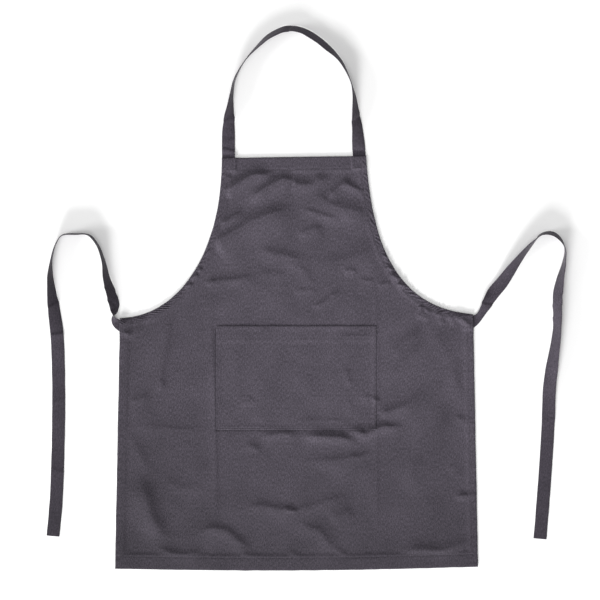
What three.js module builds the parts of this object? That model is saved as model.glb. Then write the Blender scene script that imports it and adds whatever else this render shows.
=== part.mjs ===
// A kitchen apron with a bib, laid flat and face up on a surface. Millimetres, +Z up.
// The origin is on the surface under the cloth, on the middle of the line between the two side corners.
// +Y points to the neck strap and +X to the right of the picture.
import * as THREE from "three";

// Outline of the cloth panel
const BIB_TOP_WIDTH = 278;
const BIB_HEIGHT = 310;
const BIB_LEAN = -5; // the bib lies this far off the middle of the skirt
const WAIST_WIDTH = 681;
const HEM_WIDTH = 700;
const SKIRT_LENGTH = 487;

// Cloth, tape and the air that is left between two layers
const CLOTH = 1.2;
const TAPE = 1.6;
const AIR = 0.3;

// Turned edges
const TOP_HEM = 25;
const BOTTOM_HEM = 26;
const ARMHOLE_HEM = 13;
const SIDE_HEM = 13;
const POCKET_HEM = 26;
const HEM_SPACE = 1; // between two hems that meet at a corner
const STEP_DOWN = 9; // run over which the cloth comes down from a hem to the surface

// Pocket
const POCKET_WIDTH = 308;
const POCKET_HEIGHT = 200;
const POCKET_DROP = 15; // from the side corners down to the pocket's mouth
const POCKET_ROOM = 5.5; // how far its cloth stands off the panel
const POCKET_SLOPE = 34; // run over which it rises from its sewn edges

// Neck strap and ties
const TAPE_WIDTH = 25;
const NECK_RISE = 249; // from the bib's edge to the middle of the strap's arch
const NECK_SEAT = 23; // length sewn under the top hem
const TIE_LENGTH = 845;
const TIE_SEAT = 19; // length sewn under the side corner
const SEAT_BELOW_CORNER = 4;
const SEAT_EASE = 2; // the cloth stays up this far past the tape

// Wrinkles and gathers
const FOLD_HEIGHT = 6;
const FOLD_WIDTH = 20;
const FOLD_LEAST = 0.3; // where the folds would lift the cloth less than this it lies flat
const FLAT_ROUND_POCKET = 32;
const GATHER_HEIGHT = 1.4; // at the side corners
const GATHER_AT_BIB = 0.6; // at the top of the armholes

// How finely the sheets are divided
const BIB_ROWS = 20;
const SKIRT_ROWS = 21;
const FIELD_COLUMNS = 24;
const POCKET_ROWS = 12;
const POCKET_COLUMNS = 18;
const STEPS_PER_ROW = 3;

const CLOTH_COLOUR = 0x5a525c;
const TAPE_COLOUR = 0x544c57;

// The two sides differ a little, as cloth that was laid down by hand does.
// Shares: corner, top and bottom of the bib's height or the skirt's length; the handles of the armhole curve
// as shares of the curve's own rise and run.
const SIDES = {
  left: {
    sign: -1, corner: 0, top: -0.005, bottom: -0.993,
    bibDown: 0.61, bibOut: 0, sideIn: 0.56, sideUp: 0.006,
  },
  right: {
    sign: 1, corner: 0.024, top: 0.008, bottom: -0.985,
    bibDown: 0.62, bibOut: 0.06, sideIn: 0.67, sideUp: 0.036,
  },
};

// Main wrinkles. across is a share of the panel's half width at that height, up a share of the bib's height
// above the side corners or of the skirt's length below them, bow and high and wide shares of the fold's
// length, of FOLD_HEIGHT and of FOLD_WIDTH.
const FOLDS = [
  { across: -0.92, up: 0.8, toAcross: -0.25, toUp: 0.91, bow: 0.12, high: 0.8, wide: 0.7 },
  { across: -0.78, up: 0.67, toAcross: 0.06, toUp: 0.84, bow: 0.2, high: 0.7, wide: 0.8 },
  { across: -0.95, up: 0.47, toAcross: 0.03, toUp: 0.69, bow: 0.1, high: 1, wide: 1 },
  { across: 0.12, up: 0.69, toAcross: 0.95, toUp: 0.6, bow: 0.08, high: 0.7, wide: 0.9 },
  { across: 0.3, up: 0.78, toAcross: 0.72, toUp: 0.87, bow: -0.15, high: 0.6, wide: 0.8 },
  { across: -0.36, up: 0.43, toAcross: 0.05, toUp: 0.37, bow: 0.05, high: 0.5, wide: 1.1 },
  { across: -0.82, up: 0.24, toAcross: -0.3, toUp: 0.28, bow: 0.04, high: 0.5, wide: 0.9 },
  { across: 0.35, up: 0.34, toAcross: 0.85, toUp: 0.4, bow: 0.1, high: 0.5, wide: 1.1 },
  { across: 0.1, up: 0.07, toAcross: 0.25, toUp: 0.16, bow: 0, high: 0.5, wide: 0.7 },
  { across: -0.72, up: -0.03, toAcross: -0.77, toUp: -0.34, bow: 0.04, high: 0.6, wide: 1.1 },
  { across: -0.88, up: -0.5, toAcross: -0.68, toUp: -0.87, bow: -0.08, high: 1, wide: 1 },
  { across: -0.58, up: -0.83, toAcross: -0.3, toUp: -0.89, bow: 0.18, high: 0.8, wide: 0.9 },
  { across: -0.4, up: -0.46, toAcross: 0.43, toUp: -0.475, bow: -0.02, high: 0.6, wide: 0.8 },
  { across: -0.3, up: -0.755, toAcross: 0.15, toUp: -0.72, bow: 0.06, high: 0.7, wide: 1 },
  { across: 0, up: -0.8, toAcross: 0.27, toUp: -0.92, bow: 0.08, high: 0.6, wide: 1 },
  { across: 0.83, up: -0.33, toAcross: 0.52, toUp: -0.78, bow: 0.06, high: 0.6, wide: 1.4 },
  { across: 0.47, up: -0.37, toAcross: 0.72, toUp: -0.29, bow: 0.1, high: 0.7, wide: 0.8 },
  { across: 0.68, up: -0.05, toAcross: 0.5, toUp: -0.25, bow: 0.05, high: 0.5, wide: 1.2 },
  { across: 0.57, up: -0.93, toAcross: 0.93, toUp: -0.87, bow: -0.08, high: 0.7, wide: 1 },
];

// The neck strap from the left bib corner over the arch to the right one. across is a share of the half
// distance between the two seats, up of NECK_RISE, roll how far the tape leans up on its inner edge, in
// degrees: past 90 it leans over outwards. The strap has half a turn in it, so its right end lies face down.
const NECK_ROUTE = [
  { across: -1, up: 0, roll: 0 },
  { across: -1, up: 0.17, roll: 14 },
  { across: -0.99, up: 0.29, roll: 36 },
  { across: -0.97, up: 0.38, roll: 60 },
  { across: -0.945, up: 0.49, roll: 80 },
  { across: -0.91, up: 0.59, roll: 88 },
  { across: -0.76, up: 0.735, roll: 96 },
  { across: -0.56, up: 0.85, roll: 108 },
  { across: -0.35, up: 0.94, roll: 122 },
  { across: -0.1, up: 0.99, roll: 126 },
  { across: 0.11, up: 0.975, roll: 125 },
  { across: 0.31, up: 0.92, roll: 129 },
  { across: 0.54, up: 0.825, roll: 124 },
  { across: 0.7, up: 0.74, roll: 109 },
  { across: 0.81, up: 0.64, roll: 99 },
  { across: 0.88, up: 0.55, roll: 94 },
  { across: 0.92, up: 0.46, roll: 106 },
  { across: 0.94, up: 0.36, roll: 122 },
  { across: 0.965, up: 0.24, roll: 142 },
  { across: 0.985, up: 0.1, roll: 168 },
  { across: 1, up: 0, roll: 180 },
];

// The ties, from where each leaves the side corner to its free end. out and up are shares of TIE_LENGTH,
// roll how far the tape leans up on its outer edge, wide the share of its width where it is gathered. The
// left tie turns over its edge where it is gathered, right beside the side corner.
const TIE_ROUTES = {
  left: [
    { out: 0.007, up: -0.012, roll: 0, wide: 0.7 },
    { out: 0.014, up: -0.001, roll: 40, wide: 0.5 },
    { out: 0.012, up: 0.014, roll: 140, wide: 0.7 },
    { out: 0.012, up: 0.032, roll: 136, wide: 1 },
    { out: 0.02, up: 0.062, roll: 132, wide: 1 },
    { out: 0.029, up: 0.09, roll: 116, wide: 1 },
    { out: 0.036, up: 0.13, roll: 97, wide: 1 },
    { out: 0.05, up: 0.167, roll: 92, wide: 1 },
    { out: 0.07, up: 0.189, roll: 93, wide: 1 },
    { out: 0.1, up: 0.191, roll: 98, wide: 1 },
    { out: 0.131, up: 0.188, roll: 98, wide: 1 },
    { out: 0.1455, up: 0.166, roll: 99, wide: 1 },
    { out: 0.1545, up: 0.132, roll: 94, wide: 1 },
    { out: 0.157, up: 0.1, roll: 76, wide: 1 },
    { out: 0.155, up: 0.07, roll: 63, wide: 1 },
    { out: 0.152, up: 0.04, roll: 46, wide: 1 },
    { out: 0.145, up: -0.02, roll: 14, wide: 1 },
    { out: 0.142, up: -0.07, roll: 0, wide: 1 },
    { out: 0.14, up: -0.18, roll: 0, wide: 1 },
    { out: 0.142, up: -0.32, roll: 0, wide: 1 },
    { out: 0.146, up: -0.42, roll: 0, wide: 1 },
    { out: 0.153, up: -0.498, roll: 0, wide: 1 },
  ],
  right: [
    { out: 0.008, up: -0.011, roll: 0, wide: 0.7 },
    { out: 0.016, up: -0.003, roll: 8, wide: 0.55 },
    { out: 0.024, up: 0.01, roll: 20, wide: 0.7 },
    { out: 0.032, up: 0.024, roll: 30, wide: 0.95 },
    { out: 0.046, up: 0.048, roll: 6, wide: 1 },
    { out: 0.065, up: 0.071, roll: 12, wide: 1 },
    { out: 0.088, up: 0.104, roll: 38, wide: 1 },
    { out: 0.108, up: 0.131, roll: 56, wide: 1 },
    { out: 0.125, up: 0.152, roll: 67, wide: 1 },
    { out: 0.14, up: 0.168, roll: 80, wide: 1 },
    { out: 0.155, up: 0.182, roll: 97, wide: 1 },
    { out: 0.18, up: 0.183, roll: 114, wide: 1 },
    { out: 0.196, up: 0.172, roll: 112, wide: 1 },
    { out: 0.2075, up: 0.15, roll: 98, wide: 1 },
    { out: 0.206, up: 0.12, roll: 87, wide: 1 },
    { out: 0.197, up: 0.08, roll: 66, wide: 1 },
    { out: 0.192, up: 0.045, roll: 50, wide: 1 },
    { out: 0.191, up: -0.01, roll: 61, wide: 1 },
    { out: 0.1885, up: -0.05, roll: 61, wide: 1 },
    { out: 0.179, up: -0.12, roll: 36, wide: 1 },
    { out: 0.174, up: -0.17, roll: 12, wide: 1 },
    { out: 0.172, up: -0.24, roll: 0, wide: 1 },
    { out: 0.167, up: -0.33, roll: 0, wide: 1 },
    { out: 0.159, up: -0.44, roll: 0, wide: 1 },
    { out: 0.153, up: -0.513, roll: 0, wide: 1 },
  ],
};

const HALF_TAPE = TAPE_WIDTH / 2;
const LAYER = CLOTH + AIR; // one hem under the panel lifts it by this much
const TAPE_LAYER = TAPE + AIR;

const smooth = (value) => THREE.MathUtils.smoothstep(value, 0, 1);
const mix = THREE.MathUtils.lerp;

// One side of the panel: its corners, its armhole curve and the line to which the armhole hem reaches.
function makeSide({ sign, corner, top, bottom, bibDown, bibOut, sideIn, sideUp }) {
  const cornerX = (sign * WAIST_WIDTH) / 2;
  const cornerY = corner * BIB_HEIGHT;
  const topX = BIB_LEAN + (sign * BIB_TOP_WIDTH) / 2;
  const topY = (1 + top) * BIB_HEIGHT;
  const bottomX = (sign * HEM_WIDTH) / 2;
  const bottomY = bottom * SKIRT_LENGTH;
  const run = cornerX - topX;
  const rise = topY - cornerY;
  const curve = new THREE.CubicBezierCurve(
    new THREE.Vector2(topX, topY),
    new THREE.Vector2(topX + bibOut * run, topY - bibDown * rise),
    new THREE.Vector2(cornerX - sideIn * run, cornerY + sideUp * rise),
    new THREE.Vector2(cornerX, cornerY),
  );
  const hemLine = (t) => {
    const tangent = curve.getTangent(t);
    const inward = new THREE.Vector2(sign * tangent.y, -sign * tangent.x);
    return curve.getPoint(t).addScaledVector(inward, ARMHOLE_HEM);
  };
  return { sign, cornerX, cornerY, topX, topY, bottomX, bottomY, curve, hemLine };
}

// The point at height y on a line that falls as t goes from 0 to 1.
function atHeight(line, y) {
  let low = 0;
  let high = 1;
  for (let i = 0; i < 40; i++) {
    const middle = (low + high) / 2;
    if (line(middle).y > y) low = middle;
    else high = middle;
  }
  return line(low);
}

const LEFT = makeSide(SIDES.left);
const RIGHT = makeSide(SIDES.right);

// The panel's edge at a level: 1 is the top of the bib, 0 the side corner and -1 the bottom of the skirt.
function edgeAt(side, level) {
  const y =
    level > 0 ? mix(side.cornerY, side.topY, level) : mix(side.cornerY, side.bottomY, -level);
  if (level > 0) return atHeight((t) => side.curve.getPoint(t), y);
  return new THREE.Vector2(mix(side.cornerX, side.bottomX, -level), y);
}

// How far the hem reaches in from the edge at a level, measured along the row.
function hemReach(side, level) {
  const edge = edgeAt(side, level);
  const armhole = side.sign * (edge.x - atHeight(side.hemLine, edge.y).x);
  if (level > 0) return armhole;
  return edge.y > side.cornerY - ARMHOLE_HEM ? Math.max(SIDE_HEM, armhole) : SIDE_HEM;
}

// Rows of the panel. kind says which hem lies under its edge there, seat marks the rows over a tie's sewn
// end, and field the rows whose middle lies on the surface, with the wrinkles.
const seatTop = SEAT_BELOW_CORNER / SKIRT_LENGTH;
const seatEnd = (SEAT_BELOW_CORNER + TAPE_WIDTH) / SKIRT_LENGTH;
const seatEase = SEAT_EASE / SKIRT_LENGTH;
const bibField = 1 - (TOP_HEM + STEP_DOWN) / BIB_HEIGHT;
const skirtField = seatEnd + seatEase + STEP_DOWN / SKIRT_LENGTH;
const skirtFieldEnd = 1 - (BOTTOM_HEM + STEP_DOWN) / SKIRT_LENGTH;

const ROWS = [
  { level: 1, kind: "top" },
  { level: 1 - TOP_HEM / BIB_HEIGHT, kind: "top" },
  { level: 1 - (TOP_HEM + HEM_SPACE) / BIB_HEIGHT, kind: "armhole" },
];
for (let i = 0; i <= BIB_ROWS; i++) {
  ROWS.push({ level: bibField * Math.pow(1 - i / BIB_ROWS, 1.5), kind: "armhole", field: true });
}
ROWS.push({ level: -seatTop / 2, kind: "side", seat: true, field: true });
ROWS.push({ level: -(seatTop + seatEnd) / 2, kind: "side", seat: true, field: true });
ROWS.push({ level: -seatEnd - seatEase, kind: "side", seat: true, field: true });
for (let i = 0; i <= SKIRT_ROWS; i++) {
  ROWS.push({ level: -mix(skirtField, skirtFieldEnd, i / SKIRT_ROWS), kind: "side", field: true });
}
ROWS.push({ level: -1 + (BOTTOM_HEM + HEM_SPACE) / SKIRT_LENGTH, kind: "side" });
ROWS.push({ level: -1 + BOTTOM_HEM / SKIRT_LENGTH, kind: "bottom" });
ROWS.push({ level: -1, kind: "bottom" });

// Across each row: the edge, the hem's inner line, the cloth come down, the field, and the same mirrored.
const COLUMNS = FIELD_COLUMNS + 5;

function rowPoints(row) {
  const left = edgeAt(LEFT, row.level);
  const right = edgeAt(RIGHT, row.level);
  const leftHem = hemReach(LEFT, row.level);
  const rightHem = hemReach(RIGHT, row.level);
  const first = left.x + leftHem + STEP_DOWN;
  const last = right.x - rightHem - STEP_DOWN;
  const xs = [left.x, left.x + leftHem];
  for (let i = 0; i <= FIELD_COLUMNS; i++) xs.push(mix(first, last, i / FIELD_COLUMNS));
  xs.push(right.x - rightHem, right.x);
  const width = right.x - left.x;
  const y = (x) => mix(left.y, right.y, (x - left.x) / width) + hemDip(row.level, (x - left.x) / width);
  return xs.map((x) => new THREE.Vector2(x, y(x)));
}

// The bottom edge hangs a little lower in the middle than at its corners.
function hemDip(level, share) {
  const deepest = SKIRT_LENGTH + (LEFT.bottomY + RIGHT.bottomY) / 2;
  return level < 0 ? level * deepest * Math.sin(Math.PI * share) : 0;
}

// Wrinkles as low ridges along curved lines
const FOLD_SAMPLES = 12;

function panelPoint(across, up) {
  const left = edgeAt(LEFT, up);
  const right = edgeAt(RIGHT, up);
  const share = (across + 1) / 2;
  return new THREE.Vector2(mix(left.x, right.x, share), mix(left.y, right.y, share));
}

const RIDGES = FOLDS.map((fold) => {
  const start = panelPoint(fold.across, fold.up);
  const end = panelPoint(fold.toAcross, fold.toUp);
  const along = end.clone().sub(start);
  const side = new THREE.Vector2(-along.y, along.x);
  const middle = start.clone().addScaledVector(along, 0.5).addScaledVector(side, 2 * fold.bow);
  const line = new THREE.QuadraticBezierCurve(start, middle, end);
  const points = line.getPoints(FOLD_SAMPLES);
  return { points, high: fold.high * FOLD_HEIGHT, wide: fold.wide * FOLD_WIDTH };
});

function ridgeHeight(ridge, point) {
  let best = 0;
  ridge.points.forEach((sample, i) => {
    const fade = Math.sin((Math.PI * (i + 0.5)) / (FOLD_SAMPLES + 1));
    const near = Math.exp(-sample.distanceToSquared(point) / (ridge.wide * ridge.wide));
    best = Math.max(best, fade * near);
  });
  return ridge.high * best;
}

// Under the pocket and round it the panel lies flat.
function pocketClear(point) {
  const beside = Math.abs(point.x) - POCKET_WIDTH / 2;
  const above = point.y + POCKET_DROP;
  const below = -POCKET_DROP - POCKET_HEIGHT - point.y;
  const away = Math.max(beside, above, below);
  return smooth((away - FLAT_ROUND_POCKET) / FOLD_WIDTH);
}

function foldHeight(point) {
  const raised = RIDGES.reduce((sum, ridge) => sum + ridgeHeight(ridge, point), 0);
  return raised < FOLD_LEAST ? 0 : raised * pocketClear(point);
}

// Height of whatever lies under all the layers at a panel vertex.
function seatHeight(row, column, points) {
  const fromEdge = Math.min(points[column].x - points[0].x, points[COLUMNS - 1].x - points[column].x);
  const spacing = (points[COLUMNS - 3].x - points[2].x) / FIELD_COLUMNS;
  const underTop = row.level >= ROWS[2].level && fromEdge < TAPE_WIDTH + spacing;
  const underCorner = row.seat && (column < 3 || column > COLUMNS - 4 || fromEdge < TIE_SEAT + spacing);
  return underTop || underCorner ? TAPE_LAYER : 0;
}

// Every second row of the armhole edge is drawn up, more towards the side corner.
function gatherHeight(row, index) {
  if (row.kind !== "armhole" || !row.field || index % 2) return 0;
  return row.level > 0 ? mix(GATHER_HEIGHT, GATHER_AT_BIB, row.level) : 0;
}

const edgeColumn = (column) => column < 2 || column > COLUMNS - 3;

const GRID = ROWS.map((row, index) => {
  const points = rowPoints(row);
  return points.map((point, column) => {
    const seat = seatHeight(row, column, points);
    const onHem = row.kind === "top" || row.kind === "bottom" || edgeColumn(column);
    const gather = edgeColumn(column) ? gatherHeight(row, index) : 0;
    const inField = row.field && column > 2 && column < COLUMNS - 3;
    const fold = inField ? foldHeight(point) : 0;
    return { x: point.x, y: point.y, under: seat + gather, panel: seat + gather + (onHem ? LAYER : fold) };
  });
});

// A box's lower face is split along the other diagonal than its upper face. Splitting it the same way
// keeps the air even between two layers that follow the same grid.
function alignDiagonals(geometry) {
  const lower = geometry.groups[5];
  for (let i = lower.start; i < lower.start + lower.count; i += 6) {
    const [a, b, , , c, d] = geometry.index.array.slice(i, i + 6);
    geometry.index.array.set([a, b, c, a, c, d], i);
  }
}

// A closed sheet: place gives the vertex for a row, a column and the face, and faces keep pointing out.
function sheet(rows, columns, place) {
  const geometry = new THREE.BoxGeometry(columns, rows, 1, columns, rows, 1);
  alignDiagonals(geometry);
  const position = geometry.getAttribute("position");
  for (let i = 0; i < position.count; i++) {
    const column = Math.round(position.getX(i) + columns / 2);
    const row = Math.round(rows / 2 - position.getY(i));
    const point = place(row, column, position.getZ(i) > 0);
    position.setXYZ(i, point.x, point.y, point.z);
  }
  geometry.computeVertexNormals();
  return geometry;
}

// A sheet cut from the panel's grid, from one row and column to another, lying at the height that is named.
function gridSheet(firstRow, lastRow, firstColumn, lastColumn, height) {
  return sheet(lastRow - firstRow, lastColumn - firstColumn, (row, column, upper) => {
    const node = GRID[firstRow + row][firstColumn + column];
    return { x: node.x, y: node.y, z: node[height] + (upper ? CLOTH : 0) };
  });
}

// The pocket rests on the panel at its sewn edges and stands off it in the middle and at its mouth.
function pocketPoint(row, column, height) {
  const x = mix(-POCKET_WIDTH / 2, POCKET_WIDTH / 2, column / POCKET_COLUMNS);
  const field = (row - 1) / (POCKET_ROWS - 1);
  const down = row < 1 ? 0 : mix(POCKET_HEM, POCKET_HEIGHT, field);
  const toEdge = Math.min(POCKET_WIDTH / 2 - Math.abs(x), POCKET_HEIGHT - down);
  const rise = POCKET_ROOM * smooth(toEdge / POCKET_SLOPE);
  const overHem = height === "pocket" && row < 2 ? LAYER : 0;
  return { x, y: -POCKET_DROP - down, z: CLOTH + AIR + rise + overHem };
}

function pocketSheet(rows, height) {
  return sheet(rows, POCKET_COLUMNS, (row, column, upper) => {
    const point = pocketPoint(row, column, height);
    return { ...point, z: point.z + (upper ? CLOTH : 0) };
  });
}

// A tape along a route: it touches the surface all the way, flat or leaning up on one edge.
function tape(stations) {
  const line = new THREE.CatmullRomCurve3(stations.map((s) => new THREE.Vector3(s.x, s.y, 0)));
  const steps = (stations.length - 1) * STEPS_PER_ROW;
  const up = new THREE.Vector3(0, 0, 1);
  return sheet(steps, 1, (row, column, upper) => {
    const t = row / steps;
    const centre = line.getPoint(t);
    const leftward = new THREE.Vector3().crossVectors(up, line.getTangent(t)).normalize();
    const from = stations[Math.floor(row / STEPS_PER_ROW)];
    const to = stations[Math.ceil(row / STEPS_PER_ROW)];
    const share = (row % STEPS_PER_ROW) / STEPS_PER_ROW;
    const roll = THREE.MathUtils.degToRad(mix(from.roll, to.roll, share));
    const half = HALF_TAPE * mix(from.wide ?? 1, to.wide ?? 1, share);
    const widthways = leftward.clone().multiplyScalar(Math.cos(roll)).addScaledVector(up, Math.sin(roll));
    const outwards = leftward.clone().multiplyScalar(-Math.sin(roll)).addScaledVector(up, Math.cos(roll));
    centre.z = half * Math.abs(Math.sin(roll)) + (TAPE / 2) * Math.abs(Math.cos(roll));
    centre.addScaledVector(widthways, column ? half : -half);
    return centre.addScaledVector(outwards, upper ? TAPE / 2 : -TAPE / 2);
  });
}

function neckStrap() {
  const seatHalf = BIB_TOP_WIDTH / 2 - HALF_TAPE - AIR;
  const seatAt = (side, roll) => ({ x: BIB_LEAN + side.sign * seatHalf, y: side.topY - NECK_SEAT, roll });
  const route = NECK_ROUTE.map(({ across, up, roll }) => ({
    x: BIB_LEAN + across * seatHalf,
    y: mix(LEFT.topY, RIGHT.topY, (across + 1) / 2) + up * NECK_RISE,
    roll,
  }));
  return tape([seatAt(LEFT, NECK_ROUTE.at(0).roll), ...route, seatAt(RIGHT, NECK_ROUTE.at(-1).roll)]);
}

function waistTie(side, rows) {
  const seatY = side.cornerY - SEAT_BELOW_CORNER - HALF_TAPE;
  const seat = [TIE_SEAT, TIE_SEAT / 3].map((inward) => ({
    x: side.cornerX - side.sign * inward,
    y: seatY,
    roll: 0,
  }));
  const route = rows.map(({ out, up, roll, wide }) => ({
    x: side.cornerX + side.sign * out * TIE_LENGTH,
    y: side.cornerY + up * TIE_LENGTH,
    roll: side.sign * roll,
    wide,
  }));
  return tape([...seat, ...route]);
}

const rowOf = (kind) => ROWS.findIndex((row) => row.kind === kind);
const topEnd = rowOf("armhole") - 1;
const armholeEnd = rowOf("side") - 1;
const sideEnd = rowOf("bottom") - 1;
const lastRow = ROWS.length - 1;
const lastColumn = COLUMNS - 1;

const apron = new THREE.Group();
apron.name = "kitchen_apron";

function add(name, geometry, color) {
  const material = new THREE.MeshStandardMaterial({ color, roughness: 0.9, metalness: 0 });
  const mesh = new THREE.Mesh(geometry, material);
  mesh.name = name;
  apron.add(mesh);
}

function addEdgeHems(kind, firstRow, end) {
  add(`${kind}_hem_left`, gridSheet(firstRow, end, 0, 1, "under"), CLOTH_COLOUR);
  add(`${kind}_hem_right`, gridSheet(firstRow, end, lastColumn - 1, lastColumn, "under"), CLOTH_COLOUR);
}

add("body_panel", gridSheet(0, lastRow, 0, lastColumn, "panel"), CLOTH_COLOUR);
add("top_hem", gridSheet(0, topEnd, 0, lastColumn, "under"), CLOTH_COLOUR);
addEdgeHems("armhole", topEnd + 1, armholeEnd);
addEdgeHems("side", armholeEnd + 1, sideEnd);
add("bottom_hem", gridSheet(sideEnd + 1, lastRow, 0, lastColumn, "under"), CLOTH_COLOUR);
add("patch_pocket", pocketSheet(POCKET_ROWS, "pocket"), CLOTH_COLOUR);
add("pocket_hem", pocketSheet(1, "hem"), CLOTH_COLOUR);
add("neck_strap", neckStrap(), TAPE_COLOUR);
add("waist_tie_left", waistTie(LEFT, TIE_ROUTES.left), TAPE_COLOUR);
add("waist_tie_right", waistTie(RIGHT, TIE_ROUTES.right), TAPE_COLOUR);

export default apron;
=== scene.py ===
# %% [markdown]
# A kitchen apron laid flat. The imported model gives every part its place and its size. This lesson puts the
# real cloth over it: a bib and skirt cut in one piece, turned and sewn hems, a patch pocket with an open
# mouth, a neck strap and two ties of folded tape, and the thread that holds it all together.

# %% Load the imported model
import math

import bmesh
import bpy
import numpy as np
from mathutils import Euler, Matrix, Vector, noise


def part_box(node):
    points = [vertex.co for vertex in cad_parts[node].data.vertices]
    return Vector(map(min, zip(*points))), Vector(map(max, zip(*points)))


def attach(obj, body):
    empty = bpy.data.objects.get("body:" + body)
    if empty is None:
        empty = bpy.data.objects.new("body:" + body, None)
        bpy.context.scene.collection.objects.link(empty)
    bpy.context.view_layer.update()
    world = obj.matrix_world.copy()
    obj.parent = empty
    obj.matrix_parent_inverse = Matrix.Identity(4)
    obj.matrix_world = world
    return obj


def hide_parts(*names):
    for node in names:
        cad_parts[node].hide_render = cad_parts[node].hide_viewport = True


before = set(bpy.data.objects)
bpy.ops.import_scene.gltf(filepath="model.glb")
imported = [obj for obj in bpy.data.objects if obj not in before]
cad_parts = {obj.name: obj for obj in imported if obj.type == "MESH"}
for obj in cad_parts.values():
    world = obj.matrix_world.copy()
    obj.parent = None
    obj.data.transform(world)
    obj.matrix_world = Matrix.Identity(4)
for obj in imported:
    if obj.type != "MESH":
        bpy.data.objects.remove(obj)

scene = bpy.context.scene
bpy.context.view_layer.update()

# %% [markdown]
# Everything is in metres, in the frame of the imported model: the origin lies on the surface under the cloth,
# on the line between the two side corners, +Y points to the neck strap. The picture was taken from straight
# above, so one pixel of it is always the same length, and the wrinkles can be placed where they show.

# %% Units, layers and the picture's scale
MM = 0.001
CLOTH = 1.2 * MM
TAPE = 1.6 * MM
AIR = 0.3 * MM
LAYER = CLOTH + AIR
TAPE_LAYER = TAPE + AIR

IMAGE_SIZE = 600
PIXEL = 1.93 * MM
ORIGIN_PIXEL = (296.5, 318.0)


def from_picture(points):
    """Places in the picture, in pixels, as places on the surface in metres."""
    pixels = np.array(points, float)
    return (pixels - ORIGIN_PIXEL) * (PIXEL, -PIXEL)


def smooth(value):
    """A soft step from 0 to 1."""
    value = np.clip(value, 0, 1)
    return value * value * (3 - 2 * value)


# %% [markdown]
# The cut of the panel. Its two sides differ a little, as in cloth that was laid down by hand: each has a
# corner, a top and a bottom, and the armhole between them is one Bezier curve. The curve is sampled finely
# once, and every row of the cloth then asks it where its edge lies.

# %% The panel's outline
BIB_TOP_WIDTH = 278 * MM
BIB_HEIGHT = 310 * MM
BIB_LEAN = -5 * MM
WAIST_WIDTH = 681 * MM
HEM_WIDTH = 700 * MM
SKIRT_LENGTH = 487 * MM

SIDES = {
    "left": dict(sign=-1, corner=0, top=-0.005, bottom=-0.993,
                 bib_down=0.61, bib_out=0, side_in=0.56, side_up=0.006),
    "right": dict(sign=1, corner=0.024, top=0.008, bottom=-0.985,
                  bib_down=0.62, bib_out=0.06, side_in=0.67, side_up=0.036),
}
CURVE_SAMPLES = 240


def make_side(sign, corner, top, bottom, bib_down, bib_out, side_in, side_up):
    """One side of the panel: its corners and the points of its armhole, from the bib down."""
    corner_at = np.array((sign * WAIST_WIDTH / 2, corner * BIB_HEIGHT))
    top_at = np.array((BIB_LEAN + sign * BIB_TOP_WIDTH / 2, (1 + top) * BIB_HEIGHT))
    bottom_at = np.array((sign * HEM_WIDTH / 2, bottom * SKIRT_LENGTH))
    run, rise = corner_at[0] - top_at[0], top_at[1] - corner_at[1]
    bib_handle = top_at + (bib_out * run, -bib_down * rise)
    side_handle = corner_at + (-side_in * run, side_up * rise)
    t = np.linspace(0, 1, CURVE_SAMPLES)[:, None]
    armhole = (
        (1 - t) ** 3 * top_at
        + 3 * (1 - t) ** 2 * t * bib_handle
        + 3 * (1 - t) * t ** 2 * side_handle
        + t ** 3 * corner_at
    )
    return dict(sign=sign, corner=corner_at, top=top_at, bottom=bottom_at, armhole=armhole)


LEFT = make_side(**SIDES["left"])
RIGHT = make_side(**SIDES["right"])


def edge_at(side, level):
    """The edge at a level: 1 is the top of the bib, 0 the side corner, -1 the bottom of the skirt."""
    up = np.maximum(level, 0)
    down = np.maximum(-level, 0)
    y = side["corner"][1] + up * (side["top"][1] - side["corner"][1])
    y = y + down * (side["bottom"][1] - side["corner"][1])
    armhole = side["armhole"][::-1]
    x_bib = np.interp(y, armhole[:, 1], armhole[:, 0])
    x_skirt = side["corner"][0] + down * (side["bottom"][0] - side["corner"][0])
    return np.where(level > 0, x_bib, x_skirt), y


def panel_place(share, level):
    """A point of the panel: share runs from its left edge to its right edge at that level."""
    left_x, left_y = edge_at(LEFT, level)
    right_x, right_y = edge_at(RIGHT, level)
    deepest = SKIRT_LENGTH + (LEFT["bottom"][1] + RIGHT["bottom"][1]) / 2
    dip = np.minimum(level, 0) * deepest * np.sin(math.pi * share)
    x = left_x + share * (right_x - left_x)
    y = left_y + share * (right_y - left_y) + dip
    return np.stack([x, y], axis=-1)


low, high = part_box("body_panel")
print("panel", round(high.x - low.x, 4), "by", round(high.y - low.y, 4), "m")

# %% [markdown]
# Hems, seams and wrinkles all follow a line drawn on the cloth. So one helper does most of the work: for
# every point of the cloth it finds how far along such a line the point lies, and how far to its left.

# %% Measuring from a line
def rounded(points, spacing=3 * MM):
    """A smooth line through a few chosen points, as evenly spaced samples."""
    points = np.array(points, float)
    padded = np.vstack([2 * points[0] - points[1], points, 2 * points[-1] - points[-2]])
    samples = []
    for before, start, end, after in zip(padded, padded[1:], padded[2:], padded[3:]):
        count = max(2, int(np.linalg.norm(end - start) / spacing))
        t = (np.arange(count) / count)[:, None]
        samples.append(0.5 * (
            2 * start
            + (end - before) * t
            + (2 * before - 5 * start + 4 * end - after) * t ** 2
            + (3 * start - before - 3 * end + after) * t ** 3
        ))
    samples.append(points[-1:])
    return np.vstack(samples)


def line_facts(line):
    """Length up to each sample of a line, and its direction there."""
    steps = np.diff(line, axis=0)
    lengths = np.concatenate([[0], np.cumsum(np.linalg.norm(steps, axis=1))])
    directions = np.gradient(line, axis=0)
    return lengths, directions / np.linalg.norm(directions, axis=1)[:, None]


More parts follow.
